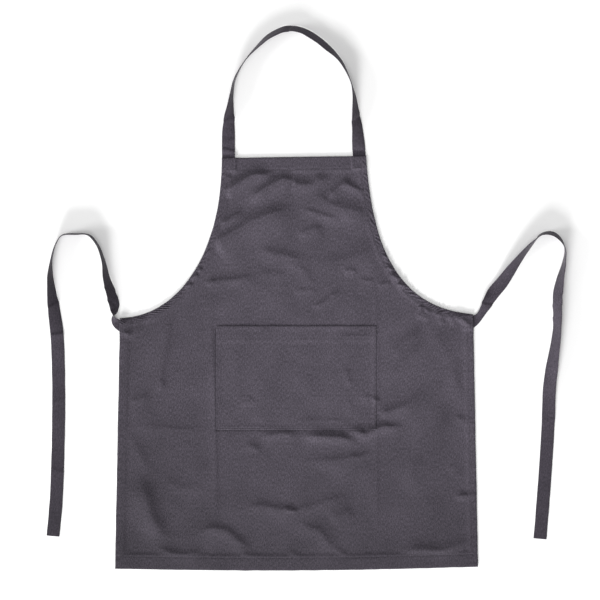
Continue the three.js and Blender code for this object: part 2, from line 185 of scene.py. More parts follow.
def along_line(wanted, lengths, values):
    """The values of a line's samples, one column at a time, at the wanted lengths."""
    return np.stack([np.interp(wanted, lengths, column) for column in values.T], axis=1)


def measure_from(line, points):
    """For each point its length along the line and its distance to the left of it."""
    lengths, directions = line_facts(line)
    nearest = np.zeros(len(points), int)
    best = np.full(len(points), np.inf)
    for i, sample in enumerate(line):
        gap = ((points - sample) ** 2).sum(axis=1)
        closer = gap < best
        best[closer] = gap[closer]
        nearest[closer] = i
    offset = points - line[nearest]
    heading = directions[nearest]
    along = lengths[nearest] + (offset * heading).sum(axis=1)
    left = heading[:, 0] * offset[:, 1] - heading[:, 1] * offset[:, 0]
    return along, left, lengths[-1]


# %% [markdown]
# The edges of the cut, each as a line with the cloth on its right or its left, and the width of the hem that
# was turned under there. A turned hem shows from above as a faint step where the cloth comes down from the
# second layer to the table, so each edge lifts the cloth by one layer over its hem.

# %% Edges and hems
EDGE_SAMPLES = 200
level_down = np.linspace(0, -1, EDGE_SAMPLES)
across = np.linspace(0, 1, EDGE_SAMPLES)
EDGES = {
    "top": dict(line=panel_place(across, np.ones(EDGE_SAMPLES)), inward=-1, hem=25 * MM),
    "bottom": dict(line=panel_place(across, -np.ones(EDGE_SAMPLES)), inward=1, hem=26 * MM),
    "armhole_left": dict(line=LEFT["armhole"], inward=1, hem=13 * MM),
    "armhole_right": dict(line=RIGHT["armhole"], inward=-1, hem=13 * MM),
    "side_left": dict(line=panel_place(np.zeros(EDGE_SAMPLES), level_down), inward=1, hem=13 * MM),
    "side_right": dict(line=panel_place(np.ones(EDGE_SAMPLES), level_down), inward=-1, hem=13 * MM),
}
STEP_DOWN = 9 * MM
SEAM_INSIDE = 1.5 * MM

POCKET_WIDTH = 308 * MM
POCKET_HEIGHT = 200 * MM
POCKET_DROP = 15 * MM
POCKET_HEM = 26 * MM
POCKET_ROOM = 1.3 * MM
POCKET_SLOPE = 60 * MM
MOUTH_ROOM = 12 * MM

# %% [markdown]
# The wrinkles. Cloth that was folded in a packet and then laid out keeps soft ridges. They could come from a
# cloth simulation, but then each would lie where it likes, and here they have to lie where the real ones do.
# So each row of the table is one of them, drawn over the picture: its route in pixels, how many times
# FOLD_HEIGHT it is high, and how many millimetres it takes to fall on the steep side, which turns away from
# the light, and on the wide, lit side. The steep side is left of the route unless the row says right. It
# rises and fades over a share of its length, which is short where a fold starts at a hem. The press creases
# of the packet are the same thing, only lower, and the puckers stand in the sewn edges.

# %% Wrinkles and creases
WRINKLES = [
    # the bib
    dict(route=[(222, 193.5), (240, 182), (257, 173.5), (277, 171.5)],
         high=4.2, steep=6.5, wide=14, begin=0.12),
    dict(route=[(246, 203), (266, 187.5), (285, 179), (300, 185)], high=3.6, steep=8, wide=18),
    dict(route=[(292, 183), (310, 184.5), (318, 179), (326, 171)], high=2.2, steep=8, wide=14, begin=0.1),
    dict(route=[(211, 244.5), (233, 232), (256, 219), (280, 211), (300, 206.5)],
         high=3.8, steep=12, wide=30, begin=0.1),
    dict(route=[(219, 224), (232, 217.5), (244, 207.5)], high=2.4, steep=6, wide=12, begin=0.12, end=0.5),
    dict(route=[(306, 194), (322, 199), (336, 206.5), (350, 209.5), (366, 213), (374, 211)],
         high=2.4, steep=14, wide=26),
    dict(route=[(300, 208), (314, 212), (326, 216), (342, 221)], high=1.4, steep=5, wide=12),
    dict(route=[(326, 199), (338, 188), (350, 177)], high=2.4, steep=6, wide=10),
    dict(route=[(342, 181), (354, 187.5), (368, 193)], high=1.7, steep=4, wide=10),
    dict(route=[(296, 236), (308, 231), (324, 226)], high=1.5, steep=9, wide=16),
    dict(route=[(254, 247), (270, 252), (288, 256), (307, 262)], high=1.5, steep=9, wide=18),
    dict(route=[(310, 264), (330, 262), (350, 258), (369, 251.5), (382, 252)], high=1.6, steep=15, wide=26),
    dict(route=[(202, 282), (220, 280.5), (242, 278.5), (256, 272.5)], high=1.5, steep=7, wide=14),
    dict(route=[(256, 273.5), (275, 273), (288, 274)], high=0.5, steep=6, wide=12),
    dict(route=[(342, 272), (350, 270), (358, 272)], high=1.2, steep=5, wide=9),
    dict(route=[(358, 278.5), (367, 280), (376, 280.5)], high=0.8, steep=3, wide=8),
    dict(route=[(376, 285), (384, 283.5), (392, 281)], high=0.9, steep=3, wide=8),
    dict(route=[(311, 309), (322, 303), (330, 297), (340, 288)], high=1.5, steep=4, wide=9),
    dict(route=[(280, 262), (300, 268), (312, 282), (322, 288)], high=0.6, steep=8, wide=12),
    dict(route=[(292, 292), (306, 290), (319, 293)], high=0.7, steep=6, wide=9),
    dict(route=[(222, 174), (226, 176), (231, 177)], high=1.3, steep=3, wide=5),
    dict(route=[(207, 285), (211, 282.5), (213, 278)], high=1.4, steep=3, wide=5),
    # the left of the skirt
    dict(route=[(172, 305), (169, 330), (166, 352), (160, 385), (158, 410)], high=1.2, steep=5, wide=22),
    dict(route=[(160, 378), (163, 384), (161, 392)], high=0.9, steep=4, wide=7),
    dict(route=[(128, 401), (139, 399), (149, 392)], high=0.9, steep=5, wide=10),
    dict(route=[(126, 426), (136, 444), (146, 464), (152, 474)], high=0.7, steep=6, wide=14),
    dict(route=[(135, 474), (144, 491), (151, 514), (158, 528), (172, 545)],
         high=3.2, steep=15, wide=24, crest=1.7),
    dict(route=[(156, 543), (166, 550), (180, 554.5), (193, 553.5), (206, 549)],
         high=1.8, steep=7, wide=14),
    dict(route=[(192, 527), (203, 529.5), (214, 527.5), (227, 530.5), (238, 539), (247, 547), (256, 554)],
         high=2.0, steep=7, wide=16),
    dict(route=[(238, 553), (250, 555), (266, 556.5)], high=1.0, steep=4, wide=6),
    dict(route=[(161, 470), (172, 483), (186, 487), (205, 483)], high=0.7, steep=8, wide=14),
    dict(route=[(242, 510), (262, 505), (278, 508), (300, 511)], high=1.8, steep=8, wide=18),
    dict(route=[(283, 508.5), (290, 509.5), (299, 511)], high=1.7, steep=3, wide=5),
    dict(route=[(246, 442), (253, 447), (262, 448)], high=1.2, steep=5, wide=8),
    dict(route=[(256, 434), (268, 435), (284, 433), (302, 437)], high=1.5, steep=6, wide=10),
    # the right of the skirt
    dict(route=[(298, 435.5), (316, 435.5), (332, 436), (344, 437.5), (361, 444)],
         high=2.8, steep=6, wide=12),
    dict(route=[(342, 431), (358, 431), (365, 433.5), (375, 429), (384, 426), (405, 426)],
         high=2.6, steep=5, wide=11),
    dict(route=[(298, 463), (318, 460), (340, 460), (370, 454)], high=1.3, steep=8, wide=20),
    dict(route=[(346, 454), (358, 456), (374, 450)], high=0.9, steep=4, wide=8),
    dict(route=[(362, 397), (372, 399), (382, 400)], high=1.3, steep=4, wide=8),
    dict(route=[(377, 414), (392, 410), (406, 404), (418, 394), (427, 386)],
         high=2.2, steep=8, wide=16, begin=0.15, end=0.6),
    dict(route=[(422, 326), (411, 336), (397, 349), (388, 362)], dark="right", high=1.8, steep=10, wide=16),
    dict(route=[(424, 336), (408, 356), (393, 374), (383, 392)], dark="right", high=1.2, steep=9, wide=14),
    dict(route=[(432, 332), (444, 348), (456, 366), (463, 378)], high=0.5, steep=9, wide=16),
    dict(route=[(450, 362), (455, 378), (462, 396), (466, 408)], high=0.7, steep=8, wide=14),
    dict(route=[(450, 402), (438, 424), (418, 452), (407, 480), (398, 494)],
         dark="right", high=2.2, steep=13, wide=24),
    dict(route=[(452, 415), (463, 419), (476, 420)], high=1.0, steep=5, wide=10),
    dict(route=[(288, 512), (304, 508), (322, 502), (352, 494)], high=1.4, steep=9, wide=20),
    dict(route=[(292, 520), (306, 526), (320, 531), (328, 541), (340, 552)], high=1.3, steep=8, wide=16),
    dict(route=[(286, 550), (294, 554), (304, 557)], high=0.9, steep=5, wide=7),
    dict(route=[(334, 546), (340, 551), (348, 555)], high=0.8, steep=4, wide=7),
    dict(route=[(328, 520), (340, 514), (354, 508)], high=1.4, steep=10, wide=18),
    dict(route=[(454, 496), (466, 495), (477, 493)], high=1.9, steep=4, wide=8, end=0.1),
    dict(route=[(393, 550), (423, 549), (442, 550), (460, 542.5), (472, 536)], high=2.4, steep=12, wide=12),
    dict(route=[(448, 462), (458, 472), (464, 484)], high=0.6, steep=7, wide=12),
]
CREASES = [
    dict(route=[(211.5, 272), (212.7, 349), (215.5, 416), (217, 556)], high=0.65, steep=3.4, wide=10),
    dict(route=[(378, 268), (377.4, 349), (377, 430), (378, 567)], high=0.35, steep=3.4, wide=10),
    dict(route=[(374.8, 284), (375.3, 306), (375, 324)], high=0.3, steep=2.6, wide=5),
    dict(route=[(122, 428), (150, 426), (187, 429), (216, 427)], high=0.45, steep=4, wide=12),
    dict(route=[(352, 168.8), (357, 168), (362, 168)], high=0.6, steep=2.6, wide=5),
]
PUCKERS = [
    dict(route=[(383, 254), (386, 257), (389, 259)], high=1.2, steep=2.5, wide=5, begin=0.15),
    dict(route=[(387, 266), (390, 268), (393, 269)], high=1.4, steep=2.5, wide=5, begin=0.15),
    dict(route=[(391, 274), (396, 277), (401, 280)], high=2.2, steep=3, wide=6, begin=0.15),
    dict(route=[(397, 283.5), (402, 285), (407, 286)], high=1.6, steep=2.5, wide=6, begin=0.15),
    dict(route=[(452, 314), (461, 319), (471, 327)], high=1.6, steep=7, wide=5, begin=0.2, end=0.1),
    dict(route=[(192, 283), (188, 285.5), (184, 287)],
         dark="right", high=1.3, steep=2.5, wide=5, begin=0.15),
    dict(route=[(198, 274), (194, 277.5), (190, 280)],
         dark="right", high=1.3, steep=2.5, wide=5, begin=0.15),
    dict(route=[(201, 268), (199, 270), (197, 271)], dark="right", high=1.2, steep=2.5, wide=5, begin=0.15),
    dict(route=[(120, 331), (126, 333), (132, 333.5), (141, 322)], high=1.3, steep=3, wide=7),
    dict(route=[(420.5, 305), (420, 312), (419, 320)],
         dark="right", high=1.8, steep=3.5, wide=6, begin=0.15),
    dict(route=[(426, 307), (427, 314), (424, 322)], dark="right", high=1.4, steep=4, wide=6),
    dict(route=[(438, 309), (439, 316), (443, 326)], dark="right", high=1.5, steep=4, wide=6),
    dict(route=[(447, 311), (450, 318), (455, 327)], dark="right", high=1.4, steep=4, wide=7),
]
FADE = 0.32
FOLD_HEIGHT = 2.05 * MM
CREST = 1.3


def ridge(points, route, high, steep, wide, dark="left", begin=FADE, end=FADE, crest=CREST):
    """Height of one wrinkle at the points: a sharp crest, steep on its dark side and wide on the lit one."""
    line = rounded(from_picture(route))
    along, left, length = measure_from(line, points)
    away = left if dark == "left" else -left
    turned_away = np.exp(-((np.maximum(away, 0) / (steep * MM)) ** crest))
    lit = np.exp(-((np.minimum(away, 0) / (wide * MM)) ** 2))
    fade = smooth(along / (begin * length)) * smooth((length - along) / (end * length))
    return high * FOLD_HEIGHT * turned_away * lit * fade


def noise_at(points, size, seed=0.0):
    """Soft noise from -1 to 1 with lumps of about that size."""
    return np.array([noise.noise(Vector((x / size, y / size, seed))) for x, y in points])


print(len(WRINKLES), "wrinkles,", len(CREASES), "press creases")

# %% [markdown]
# The height of the cloth over the table is then one function of the place: the layers that lie under it,
# plus the wrinkles, plus the small unevenness of cloth that was never pulled tight, plus the gathers that
# sewing left along the armholes and the sides. The wrinkles are weaker over the hems, and there are none
# under the pocket. Everything that rests on the panel, such as the pocket and the stitches, asks the same
# function how high it has to lie.

# %% Height of the cloth
STRAP_SEAT = dict(width=25 * MM, deep=23 * MM)
TIE_SEAT = dict(width=25 * MM, deep=19 * MM, below_corner=4 * MM)
SEAT_EASE = 5 * MM
UNEVEN = 0.55 * MM
BIG_LUMP = 95 * MM
SMALL_LUMP = 40 * MM
CRUMPLE = 0.22 * MM
CRUMPLE_SIZE = 16 * MM
LOOSE = 0.5 * MM
POCKET_MARGIN = 2 * MM
POCKET_FLATTENS = 10 * MM
SETTLED = 0.4 * MM
HEM_DAMPING = 0.65
DEEPEST_GATHER = -1.2 * MM
# a gather rises over this share of its pitch and then drops; the lengths after it run along the edge
RISE_SHARE = 0.72
GATHER_WANDER = 30 * MM
GATHER_CHANGE = 17 * MM
GATHER_ENDS = 20 * MM
GATHER_GROWS = 400 * MM
GATHERS = {
    "armhole_left": [
        dict(start=0.0, stop=0.29, pitch=11 * MM, slant=1.2, high=4.2 * MM, seed=7.0),
        dict(start=0.25, stop=0.46, pitch=7.5 * MM, slant=1.6, high=4.2 * MM, seed=6.0),
    ],
    "armhole_right": [
        dict(start=0.0, stop=0.30, pitch=10 * MM, slant=1.3, high=3.4 * MM, seed=8.0),
        dict(start=0.28, stop=0.44, pitch=8 * MM, slant=1.1, high=3.0 * MM, seed=9.0),
    ],
    "side_left": [dict(start=0.0, stop=0.5, pitch=15 * MM, slant=0.1, high=1.3 * MM, seed=3.0)],
    "side_right": [dict(start=0.0, stop=0.5, pitch=17 * MM, slant=-0.3, high=1.2 * MM, seed=4.0)],
}
SEAM_DEPTH = 0.4 * MM
SEAM_DEPTHS = {name: (0.5 if name in ("top", "bottom") else 0.2) * MM for name in EDGES}
SEAM_WIDTH = 1.3 * MM


def pad(points, middle, half_width, half_length):
    """1 over a sewn tape end, 0 a little past its edges."""
    beyond = np.abs(points - middle) - (half_width, half_length)
    return smooth(1 - beyond[:, 0] / SEAT_EASE) * smooth(1 - beyond[:, 1] / SEAT_EASE)


def seat_lift(points):
    """How far the sewn ends of the strap and the ties lift the cloth over them."""
    lift = np.zeros(len(points))
    for side in (LEFT, RIGHT):
        strap_x = side["top"][0] - side["sign"] * (STRAP_SEAT["width"] / 2 + AIR)
        strap_y = side["top"][1] - STRAP_SEAT["deep"] / 2
        half = (STRAP_SEAT["width"] / 2, STRAP_SEAT["deep"] / 2)
        lift = np.maximum(lift, pad(points, (strap_x, strap_y), *half))
        tie_x = side["corner"][0] - side["sign"] * TIE_SEAT["deep"] / 2
        tie_y = side["corner"][1] - TIE_SEAT["below_corner"] - TIE_SEAT["width"] / 2
        half = (TIE_SEAT["deep"] / 2, TIE_SEAT["width"] / 2)
        lift = np.maximum(lift, pad(points, (tie_x, tie_y), *half))
    return lift * TAPE_LAYER


def pocket_inside(points):
    """How far inside the pocket's outline each point lies, negative outside."""
    beside = POCKET_WIDTH / 2 - np.abs(points[:, 0])
    below_mouth = -POCKET_DROP - points[:, 1]
    above_bottom = points[:, 1] + POCKET_DROP + POCKET_HEIGHT
    return np.minimum(np.minimum(beside, below_mouth), above_bottom)


def groove(distance, depth=SEAM_DEPTH, width=SEAM_WIDTH):
    """The dent that a row of stitches pulls into the cloth."""
    return -depth * np.exp(-((distance / width) ** 2))


def gathers(along, inside, hem, start, stop, pitch, slant, high, seed):
    """The cross wrinkles that a turned edge keeps, from start to stop along it, in metres."""
    wander = np.array([noise.noise(Vector((s / GATHER_WANDER, seed, 0.0))) for s in along])
    strength = np.array([noise.noise(Vector((s / GATHER_CHANGE, seed, 5.0))) for s in along])
    phase = (1.1 * wander - (along + slant * inside) / pitch) % 1
    fall = np.where(phase < RISE_SHARE, 1, RISE_SHARE / (1 - RISE_SHARE))
    saw = 1 - np.abs(phase / RISE_SHARE - 1) * fall
    reach = hem * (0.7 + 0.5 * strength)
    band = smooth((reach + 2 * MM - inside) / (5 * MM))
    part = smooth((along - start) / GATHER_ENDS) * smooth((stop - along) / GATHER_ENDS)
    grow = (0.45 + 0.55 * smooth(along / GATHER_GROWS)) * part
    return high * grow * band * (0.35 + 0.65 * smooth(1.6 * strength + 0.5)) * (saw - 0.5)


def cloth_height(points):
    """Underside of the panel above the table, without the seams' grooves."""
    hem_lift = np.zeros(len(points))
    gather = np.zeros(len(points))
    for name, edge in EDGES.items():
        along, left, _ = measure_from(edge["line"], points)
        inside = left * edge["inward"]
        hem_lift = np.maximum(hem_lift, smooth((edge["hem"] + STEP_DOWN - inside) / STEP_DOWN))
        for facts in GATHERS.get(name, ()):
            gather = gather + gathers(along, inside, edge["hem"], **facts)
    folds = sum(ridge(points, **row) for row in WRINKLES)
    puckers = sum(ridge(points, **row) for row in PUCKERS)
    under_pocket = smooth((pocket_inside(points) - POCKET_MARGIN) / POCKET_FLATTENS)
    lumps = UNEVEN * (noise_at(points, BIG_LUMP) + 0.5 * noise_at(points, SMALL_LUMP, 5.0))
    fine = CRUMPLE * noise_at(points, CRUMPLE_SIZE, 9.0)
    field = (folds + lumps + fine) * (1 - HEM_DAMPING * hem_lift) * (1 - under_pocket)
    pressed = sum(ridge(points, **row) for row in CREASES) * (1 - under_pocket)
    loose = field + 1.1 * UNEVEN
    rise = 0.5 * (loose + np.sqrt(loose ** 2 + LOOSE ** 2))
    rise = rise * (1 - under_pocket)
    drawn = np.maximum(gather, DEEPEST_GATHER) + puckers
    return seat_lift(points) + hem_lift * LAYER + rise + pressed + drawn + SETTLED


# %% [markdown]
# Seams. A hem is held by one row of stitches close to its inner edge, and the pocket by a row just inside
# its own edge. Each row is a line on the cloth, so it can pull a groove into it and carry the thread later.

# %% Seam lines
def inset(name, distance):
    """The line that runs inside an edge at a fixed distance."""
    edge = EDGES[name]
    _, directions = line_facts(edge["line"])
    normal = np.stack([-directions[:, 1], directions[:, 0]], axis=1) * edge["inward"]
    return edge["line"] + normal * distance


def cut_to(line, low=-math.inf, high=math.inf):
    """The samples of a line whose Y lies between two limits."""
    return line[(line[:, 1] > low) & (line[:, 1] < high)]


def straight(start, end):
    """A straight line as samples."""
    start, end = np.array(start), np.array(end)
    count = max(2, int(np.linalg.norm(end - start) / (3 * MM)))
    return start + np.linspace(0, 1, count)[:, None] * (end - start)


SEAM_ENDS = dict(below_top=24 * MM, above_bottom=25 * MM)
SEAMS = {}
for name, edge in EDGES.items():
    SEAMS[name] = inset(name, edge["hem"] - SEAM_INSIDE)

for side, name in ((LEFT, "left"), (RIGHT, "right")):
    armhole, skirt_side = "armhole_" + name, "side_" + name
    SEAMS[armhole] = cut_to(SEAMS[armhole], high=side["top"][1] - SEAM_ENDS["below_top"])
    SEAMS[skirt_side] = cut_to(SEAMS[skirt_side], low=side["bottom"][1] + SEAM_ENDS["above_bottom"])

STRAP_BOX = dict(wide=19 * MM, high=20 * MM, below_top=2.5 * MM)
TIE_ROWS = dict(outer=3 * MM, inner=17 * MM, high=20 * MM, inside=2 * MM)
for side, name in ((LEFT, "left"), (RIGHT, "right")):
    middle = side["top"][0] - side["sign"] * (STRAP_SEAT["width"] / 2 + AIR)
    upper = side["top"][1] - STRAP_BOX["below_top"]
    lower = upper - STRAP_BOX["high"]
    near, far = middle - STRAP_BOX["wide"] / 2, middle + STRAP_BOX["wide"] / 2
    corners = [(near, upper), (far, upper), (far, lower), (near, lower)]
    for i, corner in enumerate(corners):
        SEAMS[f"strap_box_{name}_{i}"] = straight(corner, corners[(i + 1) % len(corners)])
    upper = side["corner"][1] - TIE_SEAT["below_corner"] - TIE_ROWS["inside"]
    lower = upper - TIE_ROWS["high"]
    for i, row in enumerate(("outer", "inner")):
        x = side["corner"][0] - side["sign"] * TIE_ROWS[row]
        SEAMS[f"tie_box_{name}_{i}"] = straight((x, upper), (x, lower))

print(len(SEAMS), "seams")


def seam_grooves(points, seams):
    """All the dents of these rows of stitches."""
    total = np.zeros(len(points))
    for name, line in seams.items():
        along, left, length = measure_from(line, points)
        inside = (along > -SEAM_WIDTH) & (along < length + SEAM_WIDTH)
        total = np.minimum(total, np.where(inside, groove(left, SEAM_DEPTHS.get(name, SEAM_DEPTH)), 0))
    return total


# %% [markdown]
# A sheet of cloth is two grids, a fine one for the face that shows and a coarser one for the underside,
# joined round the rim. Both come from the grid operator. The rows and columns are spread so that they lie
# closer together where the cloth has small forms, such as hems and creases. Only a tape is as fine
# underneath, because it turns over and shows both of its faces.

# %% Making a sheet
def spread(count, dense):
    """Positions from 0 to 1, closer together round the places in dense: (place, width, how much more)."""
    fine = np.linspace(0, 1, 2001)
    weight = np.ones_like(fine)
    for place, width, more in dense:
        weight += more * np.exp(-(((fine - place) / width) ** 2))
    total = np.concatenate([[0], np.cumsum((weight[1:] + weight[:-1]) / 2)])
    return np.interp(np.linspace(0, total[-1], count + 1), total, fine)


def sheet(name, shares, levels, place, under_step=2):
    """A closed sheet. place turns arrays of shares and levels into upper or lower points and flat ones."""
    bm = bmesh.new()
    flat = bm.verts.layers.float_vector.new("flat")
    for upper, step in ((True, 1), (False, under_step)):
        columns, rows = shares[::step], levels[::step]
        grid = bmesh.ops.create_grid(bm, x_segments=len(columns) - 1, y_segments=len(rows) - 1, size=0.5)
        verts = grid["verts"]
        column = np.array([round((v.co.x + 0.5) * (len(columns) - 1)) for v in verts])
        row = np.array([round((v.co.y + 0.5) * (len(rows) - 1)) for v in verts])
        points, cut = place(columns[column], rows[row], upper)
        for v, point, on_cut in zip(verts, points, cut):
            v.co = point
            v[flat] = (on_cut[0], on_cut[1], 0)
        if not upper:
            bmesh.ops.reverse_faces(bm, faces=list({f for v in verts for f in v.link_faces}))
    rim = [e for e in bm.edges if e.is_boundary]
    bmesh.ops.bridge_loops(bm, edges=rim)
    uv = bm.loops.layers.uv.new("cut")
    for face in bm.faces:
        face.smooth = True
        for loop in face.loops:
            loop[uv].uv = loop.vert[flat][:2]
    mesh = bpy.data.meshes.new(name)
    bm.to_mesh(mesh)
    bm.free()
    piece = bpy.data.objects.new(name, mesh)
    scene.collection.objects.link(piece)
    return piece


def report(piece):
    """Print how many faces a piece has, and how big it is."""
    triangles = sum(len(p.vertices) - 2 for p in piece.data.polygons)
    size = [round(d, 4) for d in piece.dimensions]
    print(piece.name, triangles, "triangles", size)


# %% [markdown]
# The panel itself. At its outer edge the cloth turns round the hem, so the last millimetre bends down past
# the hem that lies under it. The outline wanders by a fraction of a millimetre, as a sewn edge does.

# %% The body panel
PANEL_COLUMNS = 196
PANEL_ROWS = 392
PANEL_FLOOR = 0.05 * MM
TURN = 1.4 * MM
TURN_DROP = 1.15 * MM
EDGE_WANDER = 0.5 * MM
CREASE_SHARES = (0.272, 0.729)
FLAT_ARMHOLE = 18 * MM
# right is the share of the dent that shows at the pocket's right end
POCKET_DENT = dict(beside=1.0 * MM, deep=0.9 * MM, wide=1.4 * MM, right=0.4, below_mouth=4 * MM)

full_height = BIB_HEIGHT + SKIRT_LENGTH
mouth_share = (SKIRT_LENGTH - POCKET_DROP) / full_height
pocket_foot_share = (SKIRT_LENGTH - POCKET_DROP - POCKET_HEIGHT) / full_height
hem_share = EDGES["bottom"]["hem"] / full_height
shares = spread(PANEL_COLUMNS, [(0, 0.025, 1.8), (1, 0.025, 1.8)] + [(s, 0.006, 3.0) for s in CREASE_SHARES])
flat_armhole_share = (SKIRT_LENGTH + FLAT_ARMHOLE) / full_height
rows = spread(PANEL_ROWS, [
    (0, 0.008, 1.0), (1, 0.03, 0.8), (hem_share, 0.008, 1.5), (0.8, 0.2, 0.35),
    (flat_armhole_share, 0.028, 3.0), (mouth_share, 0.006, 2.5), (pocket_foot_share, 0.006, 2.5),
])
heights = -SKIRT_LENGTH + rows * full_height
levels = np.where(heights > 0, heights / BIB_HEIGHT, heights / SKIRT_LENGTH)


def edge_distance(points):
    """Distance to the nearest edge of the cut."""
    nearest = np.full(len(points), np.inf)
    for edge in EDGES.values():
        _, left, _ = measure_from(edge["line"], points)
        nearest = np.minimum(nearest, np.abs(left))
    return nearest


def place_panel(share, level, upper):
    """Points of the panel's cloth, bent down over its hems and dented by its seams."""
    cut = panel_place(share, level)
    under = cloth_height(cut)
    turn = smooth(1 - edge_distance(cut) / TURN) * TURN_DROP
    seams = seam_grooves(cut, SEAMS)
    below_mouth = smooth((-POCKET_DROP - cut[:, 1]) / POCKET_DENT["below_mouth"])
    dent = groove(pocket_inside(cut) + POCKET_DENT["beside"], POCKET_DENT["deep"], POCKET_DENT["wide"])
    seams = seams + dent * below_mouth * np.where(cut[:, 0] > POCKET_WIDTH / 4, POCKET_DENT["right"], 1)
    wander = EDGE_WANDER * noise_at(cut, 22 * MM, 3.0)
    z = under - turn + seams * 0.5 + (CLOTH + seams * 0.5 if upper else 0)
    z = np.maximum(z, PANEL_FLOOR)
    x = cut[:, 0] + wander * (np.abs(share - 0.5) > 0.49)
    y = cut[:, 1] + wander * (np.abs(level) > 0.99)
    return np.stack([x, y, z], axis=1), cut


body_panel = sheet("body_panel_cloth", shares, levels, place_panel)
report(body_panel)


def face_height(points):
    """Height of the panel's upper face, where other pieces rest on it, without the dent beside the pocket."""
    seams = seam_grooves(points, SEAMS)
    return cloth_height(points) + CLOTH + seams


# %% [markdown]
# The turned hems. Each is the strip of cloth that was folded under, and it lies on the table below the panel.
# It hardly shows, but it carries the edge, so it is made as its own sheet along the same edge line.

# %% Hems under the edges
HEM_ROWS = 6
HEM_STEP = 5 * MM
HEM_GAP = 1 * MM
HEM_FLOOR = 0.08 * MM
HEM_INSET = TURN + 0.2 * MM


def cut_length(line, start, stop):
    """The part of a line between two lengths, in even steps."""
    lengths, _ = line_facts(line)
    pairs = int((lengths[-1] - start - stop) / HEM_STEP / 2)
    return along_line(np.linspace(start, lengths[-1] - stop, max(4, 2 * pairs)), lengths, line)


def hem_sheet(name, edge, start, stop):
    """The strip that lies under one edge, from start to stop short of its ends."""
    line = cut_length(edge["line"], start, stop)
    if len(line) % 2 == 0:
        line = line[:-1]
    _, directions = line_facts(line)
    normal = np.stack([-directions[:, 1], directions[:, 0]], axis=1) * edge["inward"]
    places = np.linspace(0, 1, len(line))

    def place(share, level, upper):
        inside = HEM_INSET + share * (edge["hem"] - HEM_INSET)
        cut = along_line(level, places, line) + along_line(level, places, normal) * inside[:, None]
        z = np.maximum(cloth_height(cut) - LAYER, HEM_FLOOR) + (CLOTH - AIR if upper else 0)
        return np.stack([cut[:, 0], cut[:, 1], z], axis=1), cut

    return sheet(name, np.linspace(0, 1, HEM_ROWS + 1), places, place)


HEM_ENDS = {
    "top": (0.0, 0.0),
    "bottom": (0.0, 0.0),
    "armhole_left": (EDGES["top"]["hem"] + HEM_GAP, HEM_GAP),
    "armhole_right": (EDGES["top"]["hem"] + HEM_GAP, HEM_GAP),
    "side_left": (EDGES["armhole_left"]["hem"] + HEM_GAP, EDGES["bottom"]["hem"] + HEM_GAP),
    "side_right": (EDGES["armhole_right"]["hem"] + HEM_GAP, EDGES["bottom"]["hem"] + HEM_GAP),
}
HEM_NODES = {
    "top": "top_hem", "bottom": "bottom_hem",
    "armhole_left": "armhole_hem_left", "armhole_right": "armhole_hem_right",
    "side_left": "side_hem_left", "side_right": "side_hem_right",
}
hems = {}
for name, (start, stop) in HEM_ENDS.items():
    inset_ends = HEM_INSET if name in ("top", "bottom") else 0.0
    hems[name] = hem_sheet(HEM_NODES[name] + "_cloth", EDGES[name], start + inset_ends, stop + inset_ends)
    report(hems[name])

# %% [markdown]
# The patch pocket is one wide piece, sewn down on three sides. It rests on the panel at those edges and
# stands off it in the middle and at the mouth, where the hem under its top edge stiffens it. Its place
# function adds its own room to the height of the panel below.

# %% Patch pocket
POCKET_COLUMNS = 136
POCKET_ROWS = 96
POCKET_HEM_ROWS = 8
POCKET_INSET = 1.2 * MM
POCKET_SEAM = 2.4 * MM
POCKET_TURN = 0.45 * MM
POCKET_LUMPS = 0.35 * MM
POCKET_WANDER = 0.35 * MM
POCKET_HELD = 12 * MM
POCKET_CLOTH = 0.65 * MM
POCKET_AIR = 0.12 * MM
POCKET_LAYER = POCKET_CLOTH + POCKET_AIR
# where each piece lay in the roll of cloth, so that its grain differs from the panel's below it
POCKET_GRAIN = (0.013, 0.007)
HEM_GRAIN = (0.021, 0.019)
POCKET_WRINKLES = [
    dict(route=[(346, 366), (348, 376), (352, 388)], high=0.7, steep=4, wide=9),
    dict(route=[(349, 398), (351, 408), (352, 417)], high=0.4, steep=4, wide=9),
    dict(route=[(241, 406), (247, 401), (253, 396)], high=0.6, steep=4, wide=8),
    dict(route=[(360, 398), (368, 397), (376, 397)], high=0.7, steep=5, wide=8),
    dict(route=[(290, 420), (318, 420), (352, 421)], high=0.5, steep=4, wide=9),
    dict(route=[(338, 336), (350, 335.5), (376, 335.5)], high=0.4, steep=2.5, wide=5),
    dict(route=[(232, 344), (236, 372), (234, 404)], dark="right", high=0.5, steep=12, wide=20),
]
pocket_left, pocket_right = -POCKET_WIDTH / 2, POCKET_WIDTH / 2
pocket_top, pocket_bottom = -POCKET_DROP, -POCKET_DROP - POCKET_HEIGHT
seam_left, seam_right = pocket_left + POCKET_SEAM, pocket_right - POCKET_SEAM
seam_bottom, seam_mouth = pocket_bottom + POCKET_SEAM, pocket_top - POCKET_HEM + SEAM_INSIDE
pocket_seam = dict(
    left=straight((seam_left, pocket_top), (seam_left, seam_bottom)),
    bottom=straight((seam_left, seam_bottom), (seam_right, seam_bottom)),
    right=straight((seam_right, seam_bottom), (seam_right, pocket_top)),
    mouth=straight((seam_left, seam_mouth), (seam_right, seam_mouth)),
)


